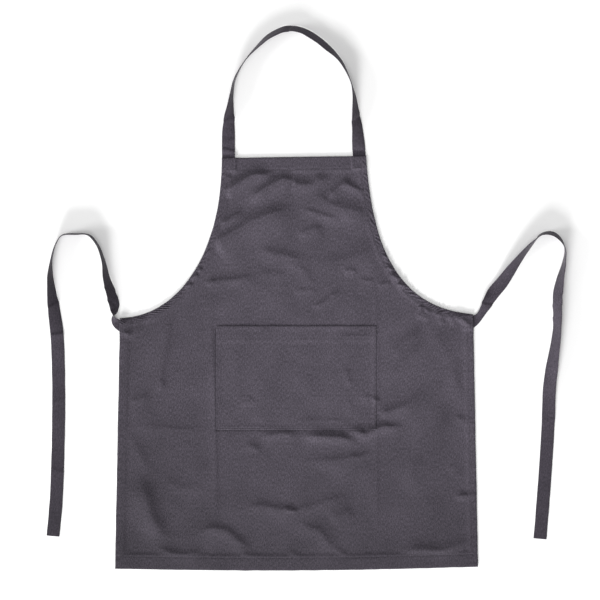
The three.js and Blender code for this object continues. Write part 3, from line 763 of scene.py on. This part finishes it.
def pocket_under(cut):
    """Underside of the pocket's cloth, over the hem of its mouth too."""
    below_mouth = pocket_top - cut[:, 1]
    to_edge = np.minimum(POCKET_WIDTH / 2 - np.abs(cut[:, 0]), POCKET_HEIGHT - below_mouth)
    rise = POCKET_ROOM * smooth(to_edge / POCKET_SLOPE) * smooth((below_mouth + MOUTH_ROOM) / POCKET_SLOPE)
    over_hem = POCKET_LAYER * smooth((POCKET_HEM + STEP_DOWN - below_mouth) / STEP_DOWN)
    folds = sum(ridge(cut, **row) for row in POCKET_WRINKLES)
    lumps = POCKET_LUMPS * noise_at(cut, 45 * MM, 12.0) + CRUMPLE * noise_at(cut, 15 * MM, 14.0)
    loose = smooth(to_edge / POCKET_HELD)
    return face_height(cut) + POCKET_AIR + rise + over_hem + folds + lumps * loose


def place_pocket(share, level, upper):
    """Points of the pocket's cloth, which bends down at its edges."""
    cut = np.stack([pocket_left + share * POCKET_WIDTH, pocket_bottom + level * POCKET_HEIGHT], axis=1)
    to_side = np.minimum(POCKET_WIDTH / 2 - np.abs(cut[:, 0]), cut[:, 1] - pocket_bottom)
    to_mouth = pocket_top - cut[:, 1]
    turn = smooth(1 - np.minimum(to_side, to_mouth) / TURN)
    seams = seam_grooves(cut, pocket_seam)
    z = pocket_under(cut) + (POCKET_CLOTH + seams - POCKET_TURN * turn if upper else 0)
    wander = POCKET_WANDER * noise_at(cut, 25 * MM, 21.0)
    x = cut[:, 0] + wander * (np.abs(share - 0.5) > 0.49)
    y = cut[:, 1] + wander * (np.abs(level - 0.5) > 0.49)
    return np.stack([x, y, z], axis=1), cut + POCKET_GRAIN


edge_rows = [(0, 0.03, 1.5), (1, 0.03, 1.5)]
pocket_shares, pocket_levels = spread(POCKET_COLUMNS, edge_rows), spread(POCKET_ROWS, edge_rows)
patch_pocket = sheet("patch_pocket_cloth", pocket_shares, pocket_levels, place_pocket)
report(patch_pocket)


def place_pocket_hem(share, level, upper):
    """Points of the strip that is turned under the pocket's mouth."""
    x = pocket_left + POCKET_INSET + share * (POCKET_WIDTH - 2 * POCKET_INSET)
    y = pocket_top - POCKET_HEM + level * (POCKET_HEM - POCKET_INSET)
    cut = np.stack([x, y], axis=1)
    z = pocket_under(cut) - POCKET_LAYER + (POCKET_CLOTH - POCKET_AIR if upper else 0)
    return np.stack([x, y, z], axis=1), cut + HEM_GRAIN


hem_shares = np.linspace(0, 1, POCKET_COLUMNS // 2 + 1)
hem_levels = np.linspace(0, 1, POCKET_HEM_ROWS + 1)
pocket_hem = sheet("pocket_hem_cloth", hem_shares, hem_levels, place_pocket_hem)
report(pocket_hem)

# %% [markdown]
# The strap and the ties are tape, 25 mm wide, sewn from folded cloth. Each runs along a route and stands up
# on one edge round its bends, as the real ones do when they are dropped on a table. Its roll is 0 where it
# lies face up, 90 where it stands, and 180 where it lies face down: the strap makes half a turn and ends
# face down, and the left tie turns over beside the corner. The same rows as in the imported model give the
# route, so the tape lies where the model has it.

# %% Routes of the tapes
TAPE_WIDTH = 25 * MM
NECK_RISE = 249 * MM
NECK_SEAT = 23 * MM
TIE_LENGTH = 845 * MM
TIE_END = 19 * MM
TIE_BELOW_CORNER = 4 * MM

# across is a share of half the distance between the seats, up of NECK_RISE, roll how far it leans, in degrees
NECK_ROUTE = [
    dict(across=-1, up=0, roll=0),
    dict(across=-1, up=0.17, roll=14),
    dict(across=-0.99, up=0.29, roll=36),
    dict(across=-0.97, up=0.38, roll=60),
    dict(across=-0.945, up=0.49, roll=80),
    dict(across=-0.91, up=0.59, roll=88),
    dict(across=-0.76, up=0.735, roll=96),
    dict(across=-0.56, up=0.85, roll=108),
    dict(across=-0.35, up=0.94, roll=122),
    dict(across=-0.1, up=0.99, roll=126),
    dict(across=0.11, up=0.975, roll=125),
    dict(across=0.31, up=0.92, roll=129),
    dict(across=0.54, up=0.825, roll=124),
    dict(across=0.7, up=0.74, roll=109),
    dict(across=0.81, up=0.64, roll=99),
    dict(across=0.88, up=0.55, roll=94),
    dict(across=0.92, up=0.46, roll=106),
    dict(across=0.94, up=0.36, roll=122),
    dict(across=0.965, up=0.24, roll=142),
    dict(across=0.985, up=0.1, roll=168),
    dict(across=1, up=0, roll=180),
]
# out and up are shares of TIE_LENGTH, wide the share of the tape's width where it is gathered
LEFT_TIE_ROUTE = [
    dict(out=0.007, up=-0.012, roll=0, wide=0.7),
    dict(out=0.014, up=-0.001, roll=40, wide=0.5),
    dict(out=0.012, up=0.014, roll=140, wide=0.7),
    dict(out=0.012, up=0.032, roll=136),
    dict(out=0.02, up=0.062, roll=132),
    dict(out=0.029, up=0.09, roll=116),
    dict(out=0.036, up=0.13, roll=97),
    dict(out=0.05, up=0.167, roll=92),
    dict(out=0.07, up=0.189, roll=93),
    dict(out=0.1, up=0.191, roll=98),
    dict(out=0.131, up=0.188, roll=98),
    dict(out=0.1455, up=0.166, roll=99),
    dict(out=0.1545, up=0.132, roll=94),
    dict(out=0.157, up=0.1, roll=76),
    dict(out=0.155, up=0.07, roll=63),
    dict(out=0.152, up=0.04, roll=46),
    dict(out=0.145, up=-0.02, roll=14),
    dict(out=0.142, up=-0.07, roll=0),
    dict(out=0.14, up=-0.18, roll=0),
    dict(out=0.142, up=-0.32, roll=0),
    dict(out=0.146, up=-0.42, roll=0),
    dict(out=0.153, up=-0.498, roll=0),
]
RIGHT_TIE_ROUTE = [
    dict(out=0.008, up=-0.011, roll=0, wide=0.7),
    dict(out=0.016, up=-0.003, roll=8, wide=0.55),
    dict(out=0.024, up=0.01, roll=20, wide=0.7),
    dict(out=0.032, up=0.024, roll=30, wide=0.95),
    dict(out=0.046, up=0.048, roll=6),
    dict(out=0.065, up=0.071, roll=12),
    dict(out=0.088, up=0.104, roll=38),
    dict(out=0.108, up=0.131, roll=56),
    dict(out=0.125, up=0.152, roll=67),
    dict(out=0.14, up=0.168, roll=80),
    dict(out=0.155, up=0.182, roll=97),
    dict(out=0.18, up=0.183, roll=114),
    dict(out=0.196, up=0.172, roll=112),
    dict(out=0.2075, up=0.15, roll=98),
    dict(out=0.206, up=0.12, roll=87),
    dict(out=0.197, up=0.08, roll=66),
    dict(out=0.192, up=0.045, roll=50),
    dict(out=0.191, up=-0.01, roll=61),
    dict(out=0.1885, up=-0.05, roll=61),
    dict(out=0.179, up=-0.12, roll=36),
    dict(out=0.174, up=-0.17, roll=12),
    dict(out=0.172, up=-0.24, roll=0),
    dict(out=0.167, up=-0.33, roll=0),
    dict(out=0.159, up=-0.44, roll=0),
    dict(out=0.153, up=-0.513, roll=0),
]


def neck_stations():
    """Places of the strap from its left seat to its right one."""
    half = BIB_TOP_WIDTH / 2 - TAPE_WIDTH / 2 - AIR
    slope = RIGHT["top"][1] - LEFT["top"][1]
    seats = [
        dict(x=BIB_LEAN + side["sign"] * half, y=side["top"][1] - NECK_SEAT, roll=end["roll"])
        for side, end in ((LEFT, NECK_ROUTE[0]), (RIGHT, NECK_ROUTE[-1]))
    ]
    route = [
        dict(
            x=BIB_LEAN + row["across"] * half,
            y=LEFT["top"][1] + (row["across"] + 1) / 2 * slope + row["up"] * NECK_RISE,
            roll=row["roll"],
        )
        for row in NECK_ROUTE
    ]
    return [seats[0], *route, seats[1]]


def tie_stations(side, route):
    """Places of one tie from its seat under the side corner to its free end."""
    seat_y = side["corner"][1] - TIE_BELOW_CORNER - TAPE_WIDTH / 2
    seats = [
        dict(x=side["corner"][0] - side["sign"] * inward, y=seat_y, roll=0)
        for inward in (TIE_END, TIE_END / 3)
    ]
    rows = [
        dict(
            x=side["corner"][0] + side["sign"] * row["out"] * TIE_LENGTH,
            y=side["corner"][1] + row["up"] * TIE_LENGTH,
            roll=side["sign"] * row["roll"],
            wide=row.get("wide", 1),
        )
        for row in route
    ]
    return seats + rows


# %% [markdown]
# One function makes a tape from its stations. A smooth line through them gives the middle, and at each step
# the tape has a direction across and a direction out of its face. It is thinner at its folded edges, has a
# shallow groove where the edge stitches run, and keeps a few creases across it from the packet.

# %% Making a tape
# at is a place in the picture, slant how far the crease runs back across the tape, turn tells which side of
# it is the steep one, and the rest is in millimetres. A high below 0 is a dent.
TAPE_CREASES = {
    "neck_strap": [
        dict(at=(229, 150), high=1.9, steep=2.6, wide=8, slant=-0.25, turn=1),
        dict(at=(229, 141), high=1.0, steep=2.6, wide=7, slant=0.2, turn=1),
        dict(at=(229, 120), high=1.4, steep=2.6, wide=10, slant=0.5, turn=1),
        dict(at=(358, 119), high=1.4, steep=2.6, wide=10, slant=-0.5, turn=-1),
        dict(at=(359, 150), high=1.9, steep=2.6, wide=8, slant=0.25, turn=-1),
        dict(at=(290, 29), high=1.2, steep=2.6, wide=9, slant=0.4, turn=1),
    ],
    "waist_tie_left": [
        dict(at=(113, 304), high=1.9, steep=2.6, wide=7, slant=0.8, turn=1),
        dict(at=(108, 290), high=1.5, steep=2.6, wide=8, slant=0.6, turn=1),
        dict(at=(54, 305), high=1.4, steep=2.6, wide=9, slant=0.4, turn=-1),
        dict(at=(56, 334), high=2.0, steep=2.6, wide=8, slant=0.1, turn=-1),
        dict(at=(58, 400), high=0.7, steep=2.6, wide=9, slant=0.3, turn=-1),
        dict(at=(56, 470), high=0.7, steep=2.6, wide=9, slant=-0.3, turn=-1),
    ],
    "waist_tie_right": [
        dict(at=(487, 303), high=-1.9, steep=2.6, wide=10, slant=0.35, turn=-1),
        dict(at=(557, 300), high=1.5, steep=2.6, wide=9, slant=0.8, turn=-1),
        dict(at=(557, 312), high=1.6, steep=2.6, wide=9, slant=0.9, turn=-1),
        dict(at=(548, 420), high=0.7, steep=2.6, wide=9, slant=0.3, turn=-1),
    ],
}
TAPE_COLUMNS = 14
STEPS_BETWEEN = 14
TAPE_STEP = 1.9 * MM
# shares of the tape's half width: its edge stitches, their groove and its thinner edge
EDGE_STITCH = 0.82
GROOVE_SHARE = 0.07
TAPE_EDGE = 0.1
TAPE_THINNER = 0.6
TAPE_FLUTTER = 0.035
TAPE_GROOVE = 0.28 * MM
TAPE_RIPPLE = 0.45 * MM


def straight_mix(t, start, stop, first, last):
    """A straight mix of two points: first where t is at start, last where it is at stop."""
    return (stop - t) / (stop - start) * first + (t - start) / (stop - start) * last


def station_line(stations):
    """Fine samples of a smooth route through the stations, and of its roll and width."""
    points = np.array([(s["x"], s["y"]) for s in stations])
    padded = np.vstack([2 * points[0] - points[1], points, 2 * points[-1] - points[-2]])
    knots = np.concatenate([[0], np.cumsum(np.linalg.norm(np.diff(padded, axis=0), axis=1) ** 0.5)])
    line = []
    for i in range(1, len(padded) - 2):
        p, k = padded[i - 1:i + 3], knots[i - 1:i + 3]
        for t in np.linspace(k[1], k[2], STEPS_BETWEEN, endpoint=False):
            a = [straight_mix(t, k[j], k[j + 1], p[j], p[j + 1]) for j in range(3)]
            b = [straight_mix(t, k[j], k[j + 2], a[j], a[j + 1]) for j in range(2)]
            line.append(straight_mix(t, k[1], k[2], b[0], b[1]))
    line.append(points[-1])
    line = np.array(line)
    index = np.arange(len(line)) / STEPS_BETWEEN
    stops = np.arange(len(stations))
    roll = np.interp(index, stops, [s["roll"] for s in stations])
    wide = np.interp(index, stops, [s.get("wide", 1) for s in stations])
    return line, softened(roll), softened(wide)


def softened(values, reach=5):
    """A running mean, which takes the kinks out of values that were joined by straight lines."""
    padded = np.pad(values, reach, mode="edge")
    return np.convolve(padded, np.ones(2 * reach + 1) / (2 * reach + 1), mode="valid")


def tape_frame(stations):
    """Middle, direction across and direction out of the face at each sample of a tape."""
    line, roll, wide = station_line(stations)
    lengths, heading = line_facts(line)
    even = np.linspace(0, lengths[-1], 2 * int(lengths[-1] / TAPE_STEP / 2) + 1)
    line, heading = along_line(even, lengths, line), along_line(even, lengths, heading)
    heading /= np.linalg.norm(heading, axis=1)[:, None]
    roll, wide = np.radians(np.interp(even, lengths, roll)), np.interp(even, lengths, wide)
    left = np.stack([-heading[:, 1], heading[:, 0]], axis=1)
    half = wide * TAPE_WIDTH / 2
    across = np.column_stack([left * np.cos(roll)[:, None], np.sin(roll)])
    out = np.column_stack([-left * np.sin(roll)[:, None], np.cos(roll)])
    z = half * np.abs(np.sin(roll)) + TAPE / 2 * np.abs(np.cos(roll)) + HEM_FLOOR
    middle = np.column_stack([line, z])
    return dict(length=even, middle=middle, across=across, out=out, half=half)


def tape_point(frame_of, share, level, lift):
    """Points of a tape: share across it, level along it, lift out of its face."""
    places = np.linspace(0, 1, len(frame_of["length"]))
    middle, across, out = (along_line(level, places, frame_of[key]) for key in ("middle", "across", "out"))
    half = np.interp(level, places, frame_of["half"])
    return middle + across * (share * half)[:, None] + out * lift[:, None]


def length_near(frame_of, pixel):
    """How far along a tape its middle passes closest to a place in the picture."""
    gap = np.linalg.norm(frame_of["middle"][:, :2] - from_picture([pixel])[0], axis=1)
    return frame_of["length"][gap.argmin()]


def make_tape(name, frame_of, seed):
    """The tape's cloth as a closed sheet."""
    total = frame_of["length"][-1]
    creases = [
        dict(row, start=length_near(frame_of, row["at"])) for row in TAPE_CREASES[name.removesuffix("_tape")]
    ]

    def place(share, level, upper):
        side = 2 * share - 1
        edge = smooth((np.abs(side) - 1 + TAPE_EDGE) / TAPE_EDGE)
        thick = TAPE / 2 * (1 - TAPE_THINNER * edge)
        stitched = groove(np.abs(side) - EDGE_STITCH, TAPE_GROOVE, GROOVE_SHARE)
        along = level * total
        flat = np.stack([side * TAPE_WIDTH / 2, along], axis=1)
        ripple = TAPE_RIPPLE * noise_at(flat + (seed, 0), 22 * MM, seed)
        bent = np.zeros(len(along))
        for row in creases:
            past = row["turn"] * (along - row["start"] + row["slant"] * side * TAPE_WIDTH / 2)
            turned = np.exp(-((np.maximum(past, 0) / (row["steep"] * MM)) ** CREST))
            bent += row["high"] * MM * turned * np.exp(-((np.minimum(past, 0) / (row["wide"] * MM)) ** 2))
        lift = (thick + stitched) * (1 if upper else -1) + ripple + bent
        flutter = 1 + TAPE_FLUTTER * noise_at(flat * (0, 1), 30 * MM, seed + 4.0)
        points = tape_point(frame_of, side * flutter, level, lift)
        points[:, 2] = np.maximum(points[:, 2], HEM_FLOOR)
        return points, flat + (seed, 0)

    shares = spread(TAPE_COLUMNS, [(0, 0.08, 1.5), (1, 0.08, 1.5)])
    return sheet(name, shares, np.linspace(0, 1, len(frame_of["length"])), place, under_step=1)


tape_frames = {
    "neck_strap": tape_frame(neck_stations()),
    "waist_tie_left": tape_frame(tie_stations(LEFT, LEFT_TIE_ROUTE)),
    "waist_tie_right": tape_frame(tie_stations(RIGHT, RIGHT_TIE_ROUTE)),
}
tapes = {}
for i, (name, facts) in enumerate(tape_frames.items()):
    tapes[name] = make_tape(name + "_tape", facts, float(i + 1))
    report(tapes[name])

# %% [markdown]
# Thread. Each stitch is a short grain of thread, a little sunk in its groove. Thousands of separate objects
# would be slow, so one grain is made with the sphere operator, and its corners are copied along every seam,
# turned to the seam's direction, into one mesh for the panel, one for the pocket and one for the tapes.

# %% Stitches
STITCH_PITCH = 3.2 * MM
STITCH_LENGTH = 2.5 * MM
THREAD = 0.42 * MM
SUNK = 0.1 * MM


def one_stitch():
    """Corners and faces of one grain of thread along X."""
    bm = bmesh.new()
    bmesh.ops.create_uvsphere(bm, u_segments=6, v_segments=4, radius=1)
    bmesh.ops.rotate(bm, verts=bm.verts, cent=(0, 0, 0), matrix=Euler((0, math.pi / 2, 0)).to_matrix())
    bmesh.ops.scale(bm, verts=bm.verts, vec=(STITCH_LENGTH / 2, THREAD / 2, THREAD / 2))
    bmesh.ops.triangulate(bm, faces=bm.faces)
    corners = np.array([v.co for v in bm.verts])
    faces = np.array([[v.index for v in f.verts] for f in bm.faces])
    bm.free()
    return corners, faces


GRAIN, GRAIN_FACES = one_stitch()


def lay_stitches(path, up):
    """Corners of all the stitches along one row: path and up hold a point and a direction per sample."""
    lengths = np.concatenate([[0], np.cumsum(np.linalg.norm(np.diff(path, axis=0), axis=1))])
    count = max(1, int(lengths[-1] / STITCH_PITCH))
    at = (np.arange(count) + 0.5) * lengths[-1] / count
    middle, outward = along_line(at, lengths, path), along_line(at, lengths, up)
    heading = along_line(at, lengths, np.gradient(path, axis=0))
    heading /= np.linalg.norm(heading, axis=1)[:, None]
    outward -= (outward * heading).sum(axis=1)[:, None] * heading
    outward /= np.linalg.norm(outward, axis=1)[:, None]
    sideways = np.cross(outward, heading)
    turned = (
        GRAIN[None, :, 0, None] * heading[:, None]
        + GRAIN[None, :, 1, None] * sideways[:, None]
        + GRAIN[None, :, 2, None] * outward[:, None]
    )
    return (turned + (middle - outward * SUNK)[:, None]).reshape(-1, 3)


def sew(name, rows_of_thread):
    """One piece with all the stitches of these rows."""
    corners = np.vstack([lay_stitches(path, up) for path, up in rows_of_thread])
    count = len(corners) // len(GRAIN)
    faces = (GRAIN_FACES[None] + (np.arange(count) * len(GRAIN))[:, None, None]).reshape(-1, 3)
    mesh = bpy.data.meshes.new(name)
    mesh.from_pydata(corners.tolist(), [], faces.tolist())
    mesh.polygons.foreach_set("use_smooth", [True] * len(mesh.polygons))
    mesh.update()
    piece = bpy.data.objects.new(name, mesh)
    scene.collection.objects.link(piece)
    print(name, count, "stitches")
    return piece


def row_on(surface, line):
    """A row of stitches on a surface that is given by its height."""
    path = np.column_stack([line, surface(line)])
    path[:, 2] += THREAD / 2
    return path, np.tile((0.0, 0.0, 1.0), (len(line), 1))


def pocket_face(cut):
    """Height of the pocket's upper face."""
    return pocket_under(cut) + POCKET_CLOTH + seam_grooves(cut, pocket_seam)


def row_on_tape(facts, side, face):
    """A row of edge stitches on one face of a tape."""
    level = np.linspace(0, 1, len(facts["length"]))
    lift = np.full(len(level), face * (TAPE / 2 - TAPE_GROOVE + THREAD / 2))
    path = tape_point(facts, np.full(len(level), side * EDGE_STITCH), level, lift)
    return path, facts["out"] * face


panel_stitches = sew("panel_stitches", [row_on(face_height, line) for line in SEAMS.values()])
pocket_stitches = sew("pocket_stitches", [row_on(pocket_face, line) for line in pocket_seam.values()])
tape_stitches = sew("tape_stitches", [
    row_on_tape(facts, side, face) for facts in tape_frames.values() for side in (-1, 1) for face in (-1, 1)
])

# %% [markdown]
# Finishes. The cloth is a plain dyed cotton twill: close, matt, a dark grey with a little violet in it, with
# yarns that took the dye unevenly, so that it looks faintly streaked along the warp. The tape is the same
# cloth, folded. The thread is spun polyester, a little darker than the cloth.

# %% Colours and nodes
def linear(hex_colour):
    """An sRGB hex colour as the linear values that the shaders use."""
    parts = [int(hex_colour[i:i + 2], 16) / 255 for i in (1, 3, 5)]
    return tuple(p / 12.92 if p <= 0.04045 else ((p + 0.055) / 1.055) ** 2.4 for p in parts) + (1.0,)


def add(tree, kind, links=(), settings=(), **inputs):
    """One node: links are (input, socket) pairs, settings its own properties, inputs its socket values."""
    node = tree.nodes.new(kind)
    for key, value in dict(settings).items():
        setattr(node, key, value)
    for key, value in inputs.items():
        node.inputs[key.replace("_", " ")].default_value = value
    for key, socket in links:
        tree.links.new(socket, node.inputs[key])
    return node


# %% [markdown]
# The twill. All its patterns follow the cut of the cloth, which each piece carries as its UV map in metres,
# so they bend with the folds. The real yarns are 0.4 mm apart, too fine for a picture of this size, so the
# slanting wales are drawn three times as coarse and the yarns' uneven dye as streaks of 2 by 5 mm, mixed
# with specks and with large soft patches.

# %% Dyed cotton twill
WALE = 1.3 * MM
WALE_SLANT = 63
# the wave texture turns by 20 radians to a unit, and a wale with its furrow takes two wales' width
WAVE_UNIT = 20
YARN_ACROSS = 2.1 * MM
YARN_ALONG = 5 * MM
SPECK = 1.7 * MM
SHADE_PATCH = 60 * MM
SPECK_SHARE = 0.5
PATCH_SHARE = 0.12
DYE_SPREAD = (0.36, 0.64)
# painted shade: the colour is darkened to the left and towards the hem; places are in metres, deepest is the
# colour left there
PAINTED_SHADE = dict(
    X=dict(deepest_at=-0.34, even_to=-0.08, deepest=0.8),
    Y=dict(deepest_at=-0.48, even_to=-0.12, deepest=0.67),
)


def cotton_twill(name, shade, deep, pale, turned=0.0):
    """Dyed cotton twill, matt and faintly streaked, with painted shade darkening it towards the left and the
    hem.
    """
    material = bpy.data.materials.new(name)
    material.use_nodes = True
    tree = material.node_tree
    tree.nodes.clear()
    cut = add(tree, "ShaderNodeUVMap", settings=dict(uv_map="cut"))
    yarns = add(tree, "ShaderNodeMapping", [("Vector", cut.outputs["UV"])],
                Scale=(1 / YARN_ACROSS, 1 / YARN_ALONG, 1), Rotation=(0, 0, turned))
    streak = add(tree, "ShaderNodeTexNoise", [("Vector", yarns.outputs["Vector"])],
                 Scale=1.0, Detail=3.0, Roughness=0.6)
    speck = add(tree, "ShaderNodeTexNoise", [("Vector", cut.outputs["UV"])],
                Scale=1 / SPECK, Detail=2.0, Roughness=0.7)
    patch = add(tree, "ShaderNodeTexNoise", [("Vector", cut.outputs["UV"])],
                Scale=1 / SHADE_PATCH, Detail=3.0)
    yarn_mix = add(tree, "ShaderNodeMix", [("A", streak.outputs["Fac"]), ("B", speck.outputs["Fac"])],
                   Factor=SPECK_SHARE)
    mixed = add(tree, "ShaderNodeMix", [("A", yarn_mix.outputs["Result"]), ("B", patch.outputs["Fac"])],
                Factor=PATCH_SHARE)
    ramp = add(tree, "ShaderNodeValToRGB", [("Fac", mixed.outputs["Result"])])
    darkest, palest = ramp.color_ramp.elements[0], ramp.color_ramp.elements[1]
    darkest.position, palest.position = DYE_SPREAD
    darkest.color = linear(deep)
    palest.color = linear(pale)
    middle = ramp.color_ramp.elements.new(sum(DYE_SPREAD) / 2)
    middle.color = linear(shade)
    wale_map = add(tree, "ShaderNodeMapping", [("Vector", cut.outputs["UV"])],
                   Rotation=(0, 0, math.radians(WALE_SLANT) + turned))
    wale = add(tree, "ShaderNodeTexWave", [("Vector", wale_map.outputs["Vector"])],
               dict(wave_type="BANDS", bands_direction="X"),
               Scale=math.pi / WAVE_UNIT / WALE, Distortion=1.2, Detail=2.0)
    uneven = add(tree, "ShaderNodeMath", [(0, wale.outputs["Fac"]), (1, streak.outputs["Fac"])],
                 dict(operation="ADD"))
    bump = add(tree, "ShaderNodeBump", [("Height", uneven.outputs[0])], Strength=0.35, Distance=0.25 * MM)
    place = add(tree, "ShaderNodeTexCoord")
    parts = add(tree, "ShaderNodeSeparateXYZ", [("Vector", place.outputs["Object"])])
    colour = ramp.outputs["Color"]
    # painted shade: the colour is multiplied down by place, towards the left and towards the hem
    for axis, facts in PAINTED_SHADE.items():
        depth = add(tree, "ShaderNodeMapRange", [("Value", parts.outputs[axis])],
                    From_Min=facts["deepest_at"], From_Max=facts["even_to"],
                    To_Min=facts["deepest"], To_Max=1.0)
        shaded_colour = add(tree, "ShaderNodeVectorMath", [(0, colour), (1, depth.outputs["Result"])],
                   dict(operation="MULTIPLY"))
        colour = shaded_colour.outputs["Vector"]
    cloth = add(tree, "ShaderNodeBsdfPrincipled",
                [("Base Color", colour), ("Normal", bump.outputs["Normal"])], Roughness=0.88, IOR=1.5)
    cloth.inputs["Sheen Weight"].default_value = 0.12
    cloth.inputs["Sheen Roughness"].default_value = 0.45
    cloth.inputs["Specular IOR Level"].default_value = 0.25
    add(tree, "ShaderNodeOutputMaterial", [("Surface", cloth.outputs["BSDF"])])
    return material


PLY = 0.8 * MM


def polyester_thread(name, shade):
    """Spun polyester thread: darker and smoother than the cloth, uneven from the twist of its plies."""
    material = bpy.data.materials.new(name)
    material.use_nodes = True
    tree = material.node_tree
    tree.nodes.clear()
    place = add(tree, "ShaderNodeTexCoord")
    twist = add(tree, "ShaderNodeTexNoise", [("Vector", place.outputs["Object"])], Scale=1 / PLY, Detail=2.0)
    ramp = add(tree, "ShaderNodeValToRGB", [("Fac", twist.outputs["Fac"])])
    ramp.color_ramp.elements[0].color = linear(shade[0])
    ramp.color_ramp.elements[1].color = linear(shade[1])
    bump = add(tree, "ShaderNodeBump", [("Height", twist.outputs["Fac"])], Strength=0.3, Distance=0.1 * MM)
    thread = add(tree, "ShaderNodeBsdfPrincipled",
                 [("Base Color", ramp.outputs["Color"]), ("Normal", bump.outputs["Normal"])], Roughness=0.6)
    add(tree, "ShaderNodeOutputMaterial", [("Surface", thread.outputs["BSDF"])])
    return material


twill = cotton_twill("dyed_cotton_twill", "#47424b", "#2a262e", "#625b67")
tape_twill = cotton_twill("folded_cotton_tape", "#403b44", "#29252d", "#57505c", turned=math.pi / 2)
thread = polyester_thread("spun_polyester_thread", ("#26222a", "#3a353f"))

# %% [markdown]
# Every piece now gets its finish, rides on the one body of the apron and stands for its part of the packed
# model.

# %% Pieces and what they stand for
pieces = {
    "body_panel": body_panel, "patch_pocket": patch_pocket, "pocket_hem": pocket_hem,
    **{HEM_NODES[name]: piece for name, piece in hems.items()}, **tapes,
}
for node, piece in pieces.items():
    piece.data.materials.append(tape_twill if node in tapes else twill)
    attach(piece, "root")
    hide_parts(node)
stitches = (panel_stitches, pocket_stitches, tape_stitches)
for piece in stitches:
    piece.data.materials.append(thread)
    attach(piece, "root")

print("pieces", len(pieces) + len(stitches))

# %% The floor's name
floor_name = "floor"

# %% [markdown]
# The stage: a plain white floor and soft studio light. Broad light comes from everywhere above, and two
# soft lamps, low at the left and at the front, give the folds their shape and the tapes their shadow. A weak
# one, high up, fills in the flat cloth.

# %% Floor and light
# The table shines a little by itself, so that the shadows of the tapes stay as pale as in the picture.
FLOOR_GLOW = 0.1
bpy.ops.mesh.primitive_plane_add(size=8, location=(0, 0, -0.2 * MM))
floor = bpy.context.object
floor.name = floor_name
paper = bpy.data.materials.new("matt_white_paper")
paper.use_nodes = True
sheet_of_paper = paper.node_tree.nodes["Principled BSDF"].inputs
sheet_of_paper["Base Color"].default_value = linear("#f4f4f4")
sheet_of_paper["Roughness"].default_value = 0.95
sheet_of_paper["Emission Color"].default_value = (1, 1, 1, 1)
sheet_of_paper["Emission Strength"].default_value = FLOOR_GLOW
floor.data.materials.append(paper)

SKY_STRENGTH = 0.35
LAMPS = {
    # turn is from +X, up above the floor, both in degrees
    "side_lamp": dict(turn=196, up=20, away=10.0, size=3.0, power=620),
    "front_lamp": dict(turn=256, up=20, away=10.0, size=3.0, power=1300),
    "top_lamp": dict(turn=226, up=78, away=4.0, size=2.0, power=44),
}

world = bpy.data.worlds.new("soft_studio")
scene.world = world
world.use_nodes = True
sky = world.node_tree.nodes["Background"].inputs
sky["Color"].default_value = (1, 1, 1, 1)
sky["Strength"].default_value = SKY_STRENGTH


def soft_lamp(name, turn, up, away, size, power):
    """A square soft box that looks at the middle of the apron."""
    data = bpy.data.lights.new(name, "AREA")
    data.size = size
    data.energy = power
    lamp = bpy.data.objects.new(name, data)
    scene.collection.objects.link(lamp)
    turn, up = math.radians(turn), math.radians(up)
    direction = Vector((math.cos(turn) * math.cos(up), math.sin(turn) * math.cos(up), math.sin(up)))
    lamp.location = direction * away
    lamp.rotation_euler = (-direction).to_track_quat("-Z", "Y").to_euler()
    print(name, [round(v, 2) for v in lamp.location])


for name, facts in LAMPS.items():
    soft_lamp(name, **facts)
scene.view_settings.view_transform = "Standard"

# %% [markdown]
# The camera looks straight down, as the picture was taken. Its height follows from the lens and from how
# much of the table the picture shows.

# %% Camera
LENS = 85
SENSOR = 36
centre = from_picture([(IMAGE_SIZE / 2, IMAGE_SIZE / 2)])[0]
camera_data = bpy.data.cameras.new("camera")
camera_data.lens = LENS
camera_data.sensor_width = SENSOR
camera = bpy.data.objects.new("camera", camera_data)
scene.collection.objects.link(camera)
camera.location = (centre[0], centre[1], IMAGE_SIZE * PIXEL * LENS / SENSOR)
scene.camera = camera
print("camera height", round(camera.location.z, 3), "m")
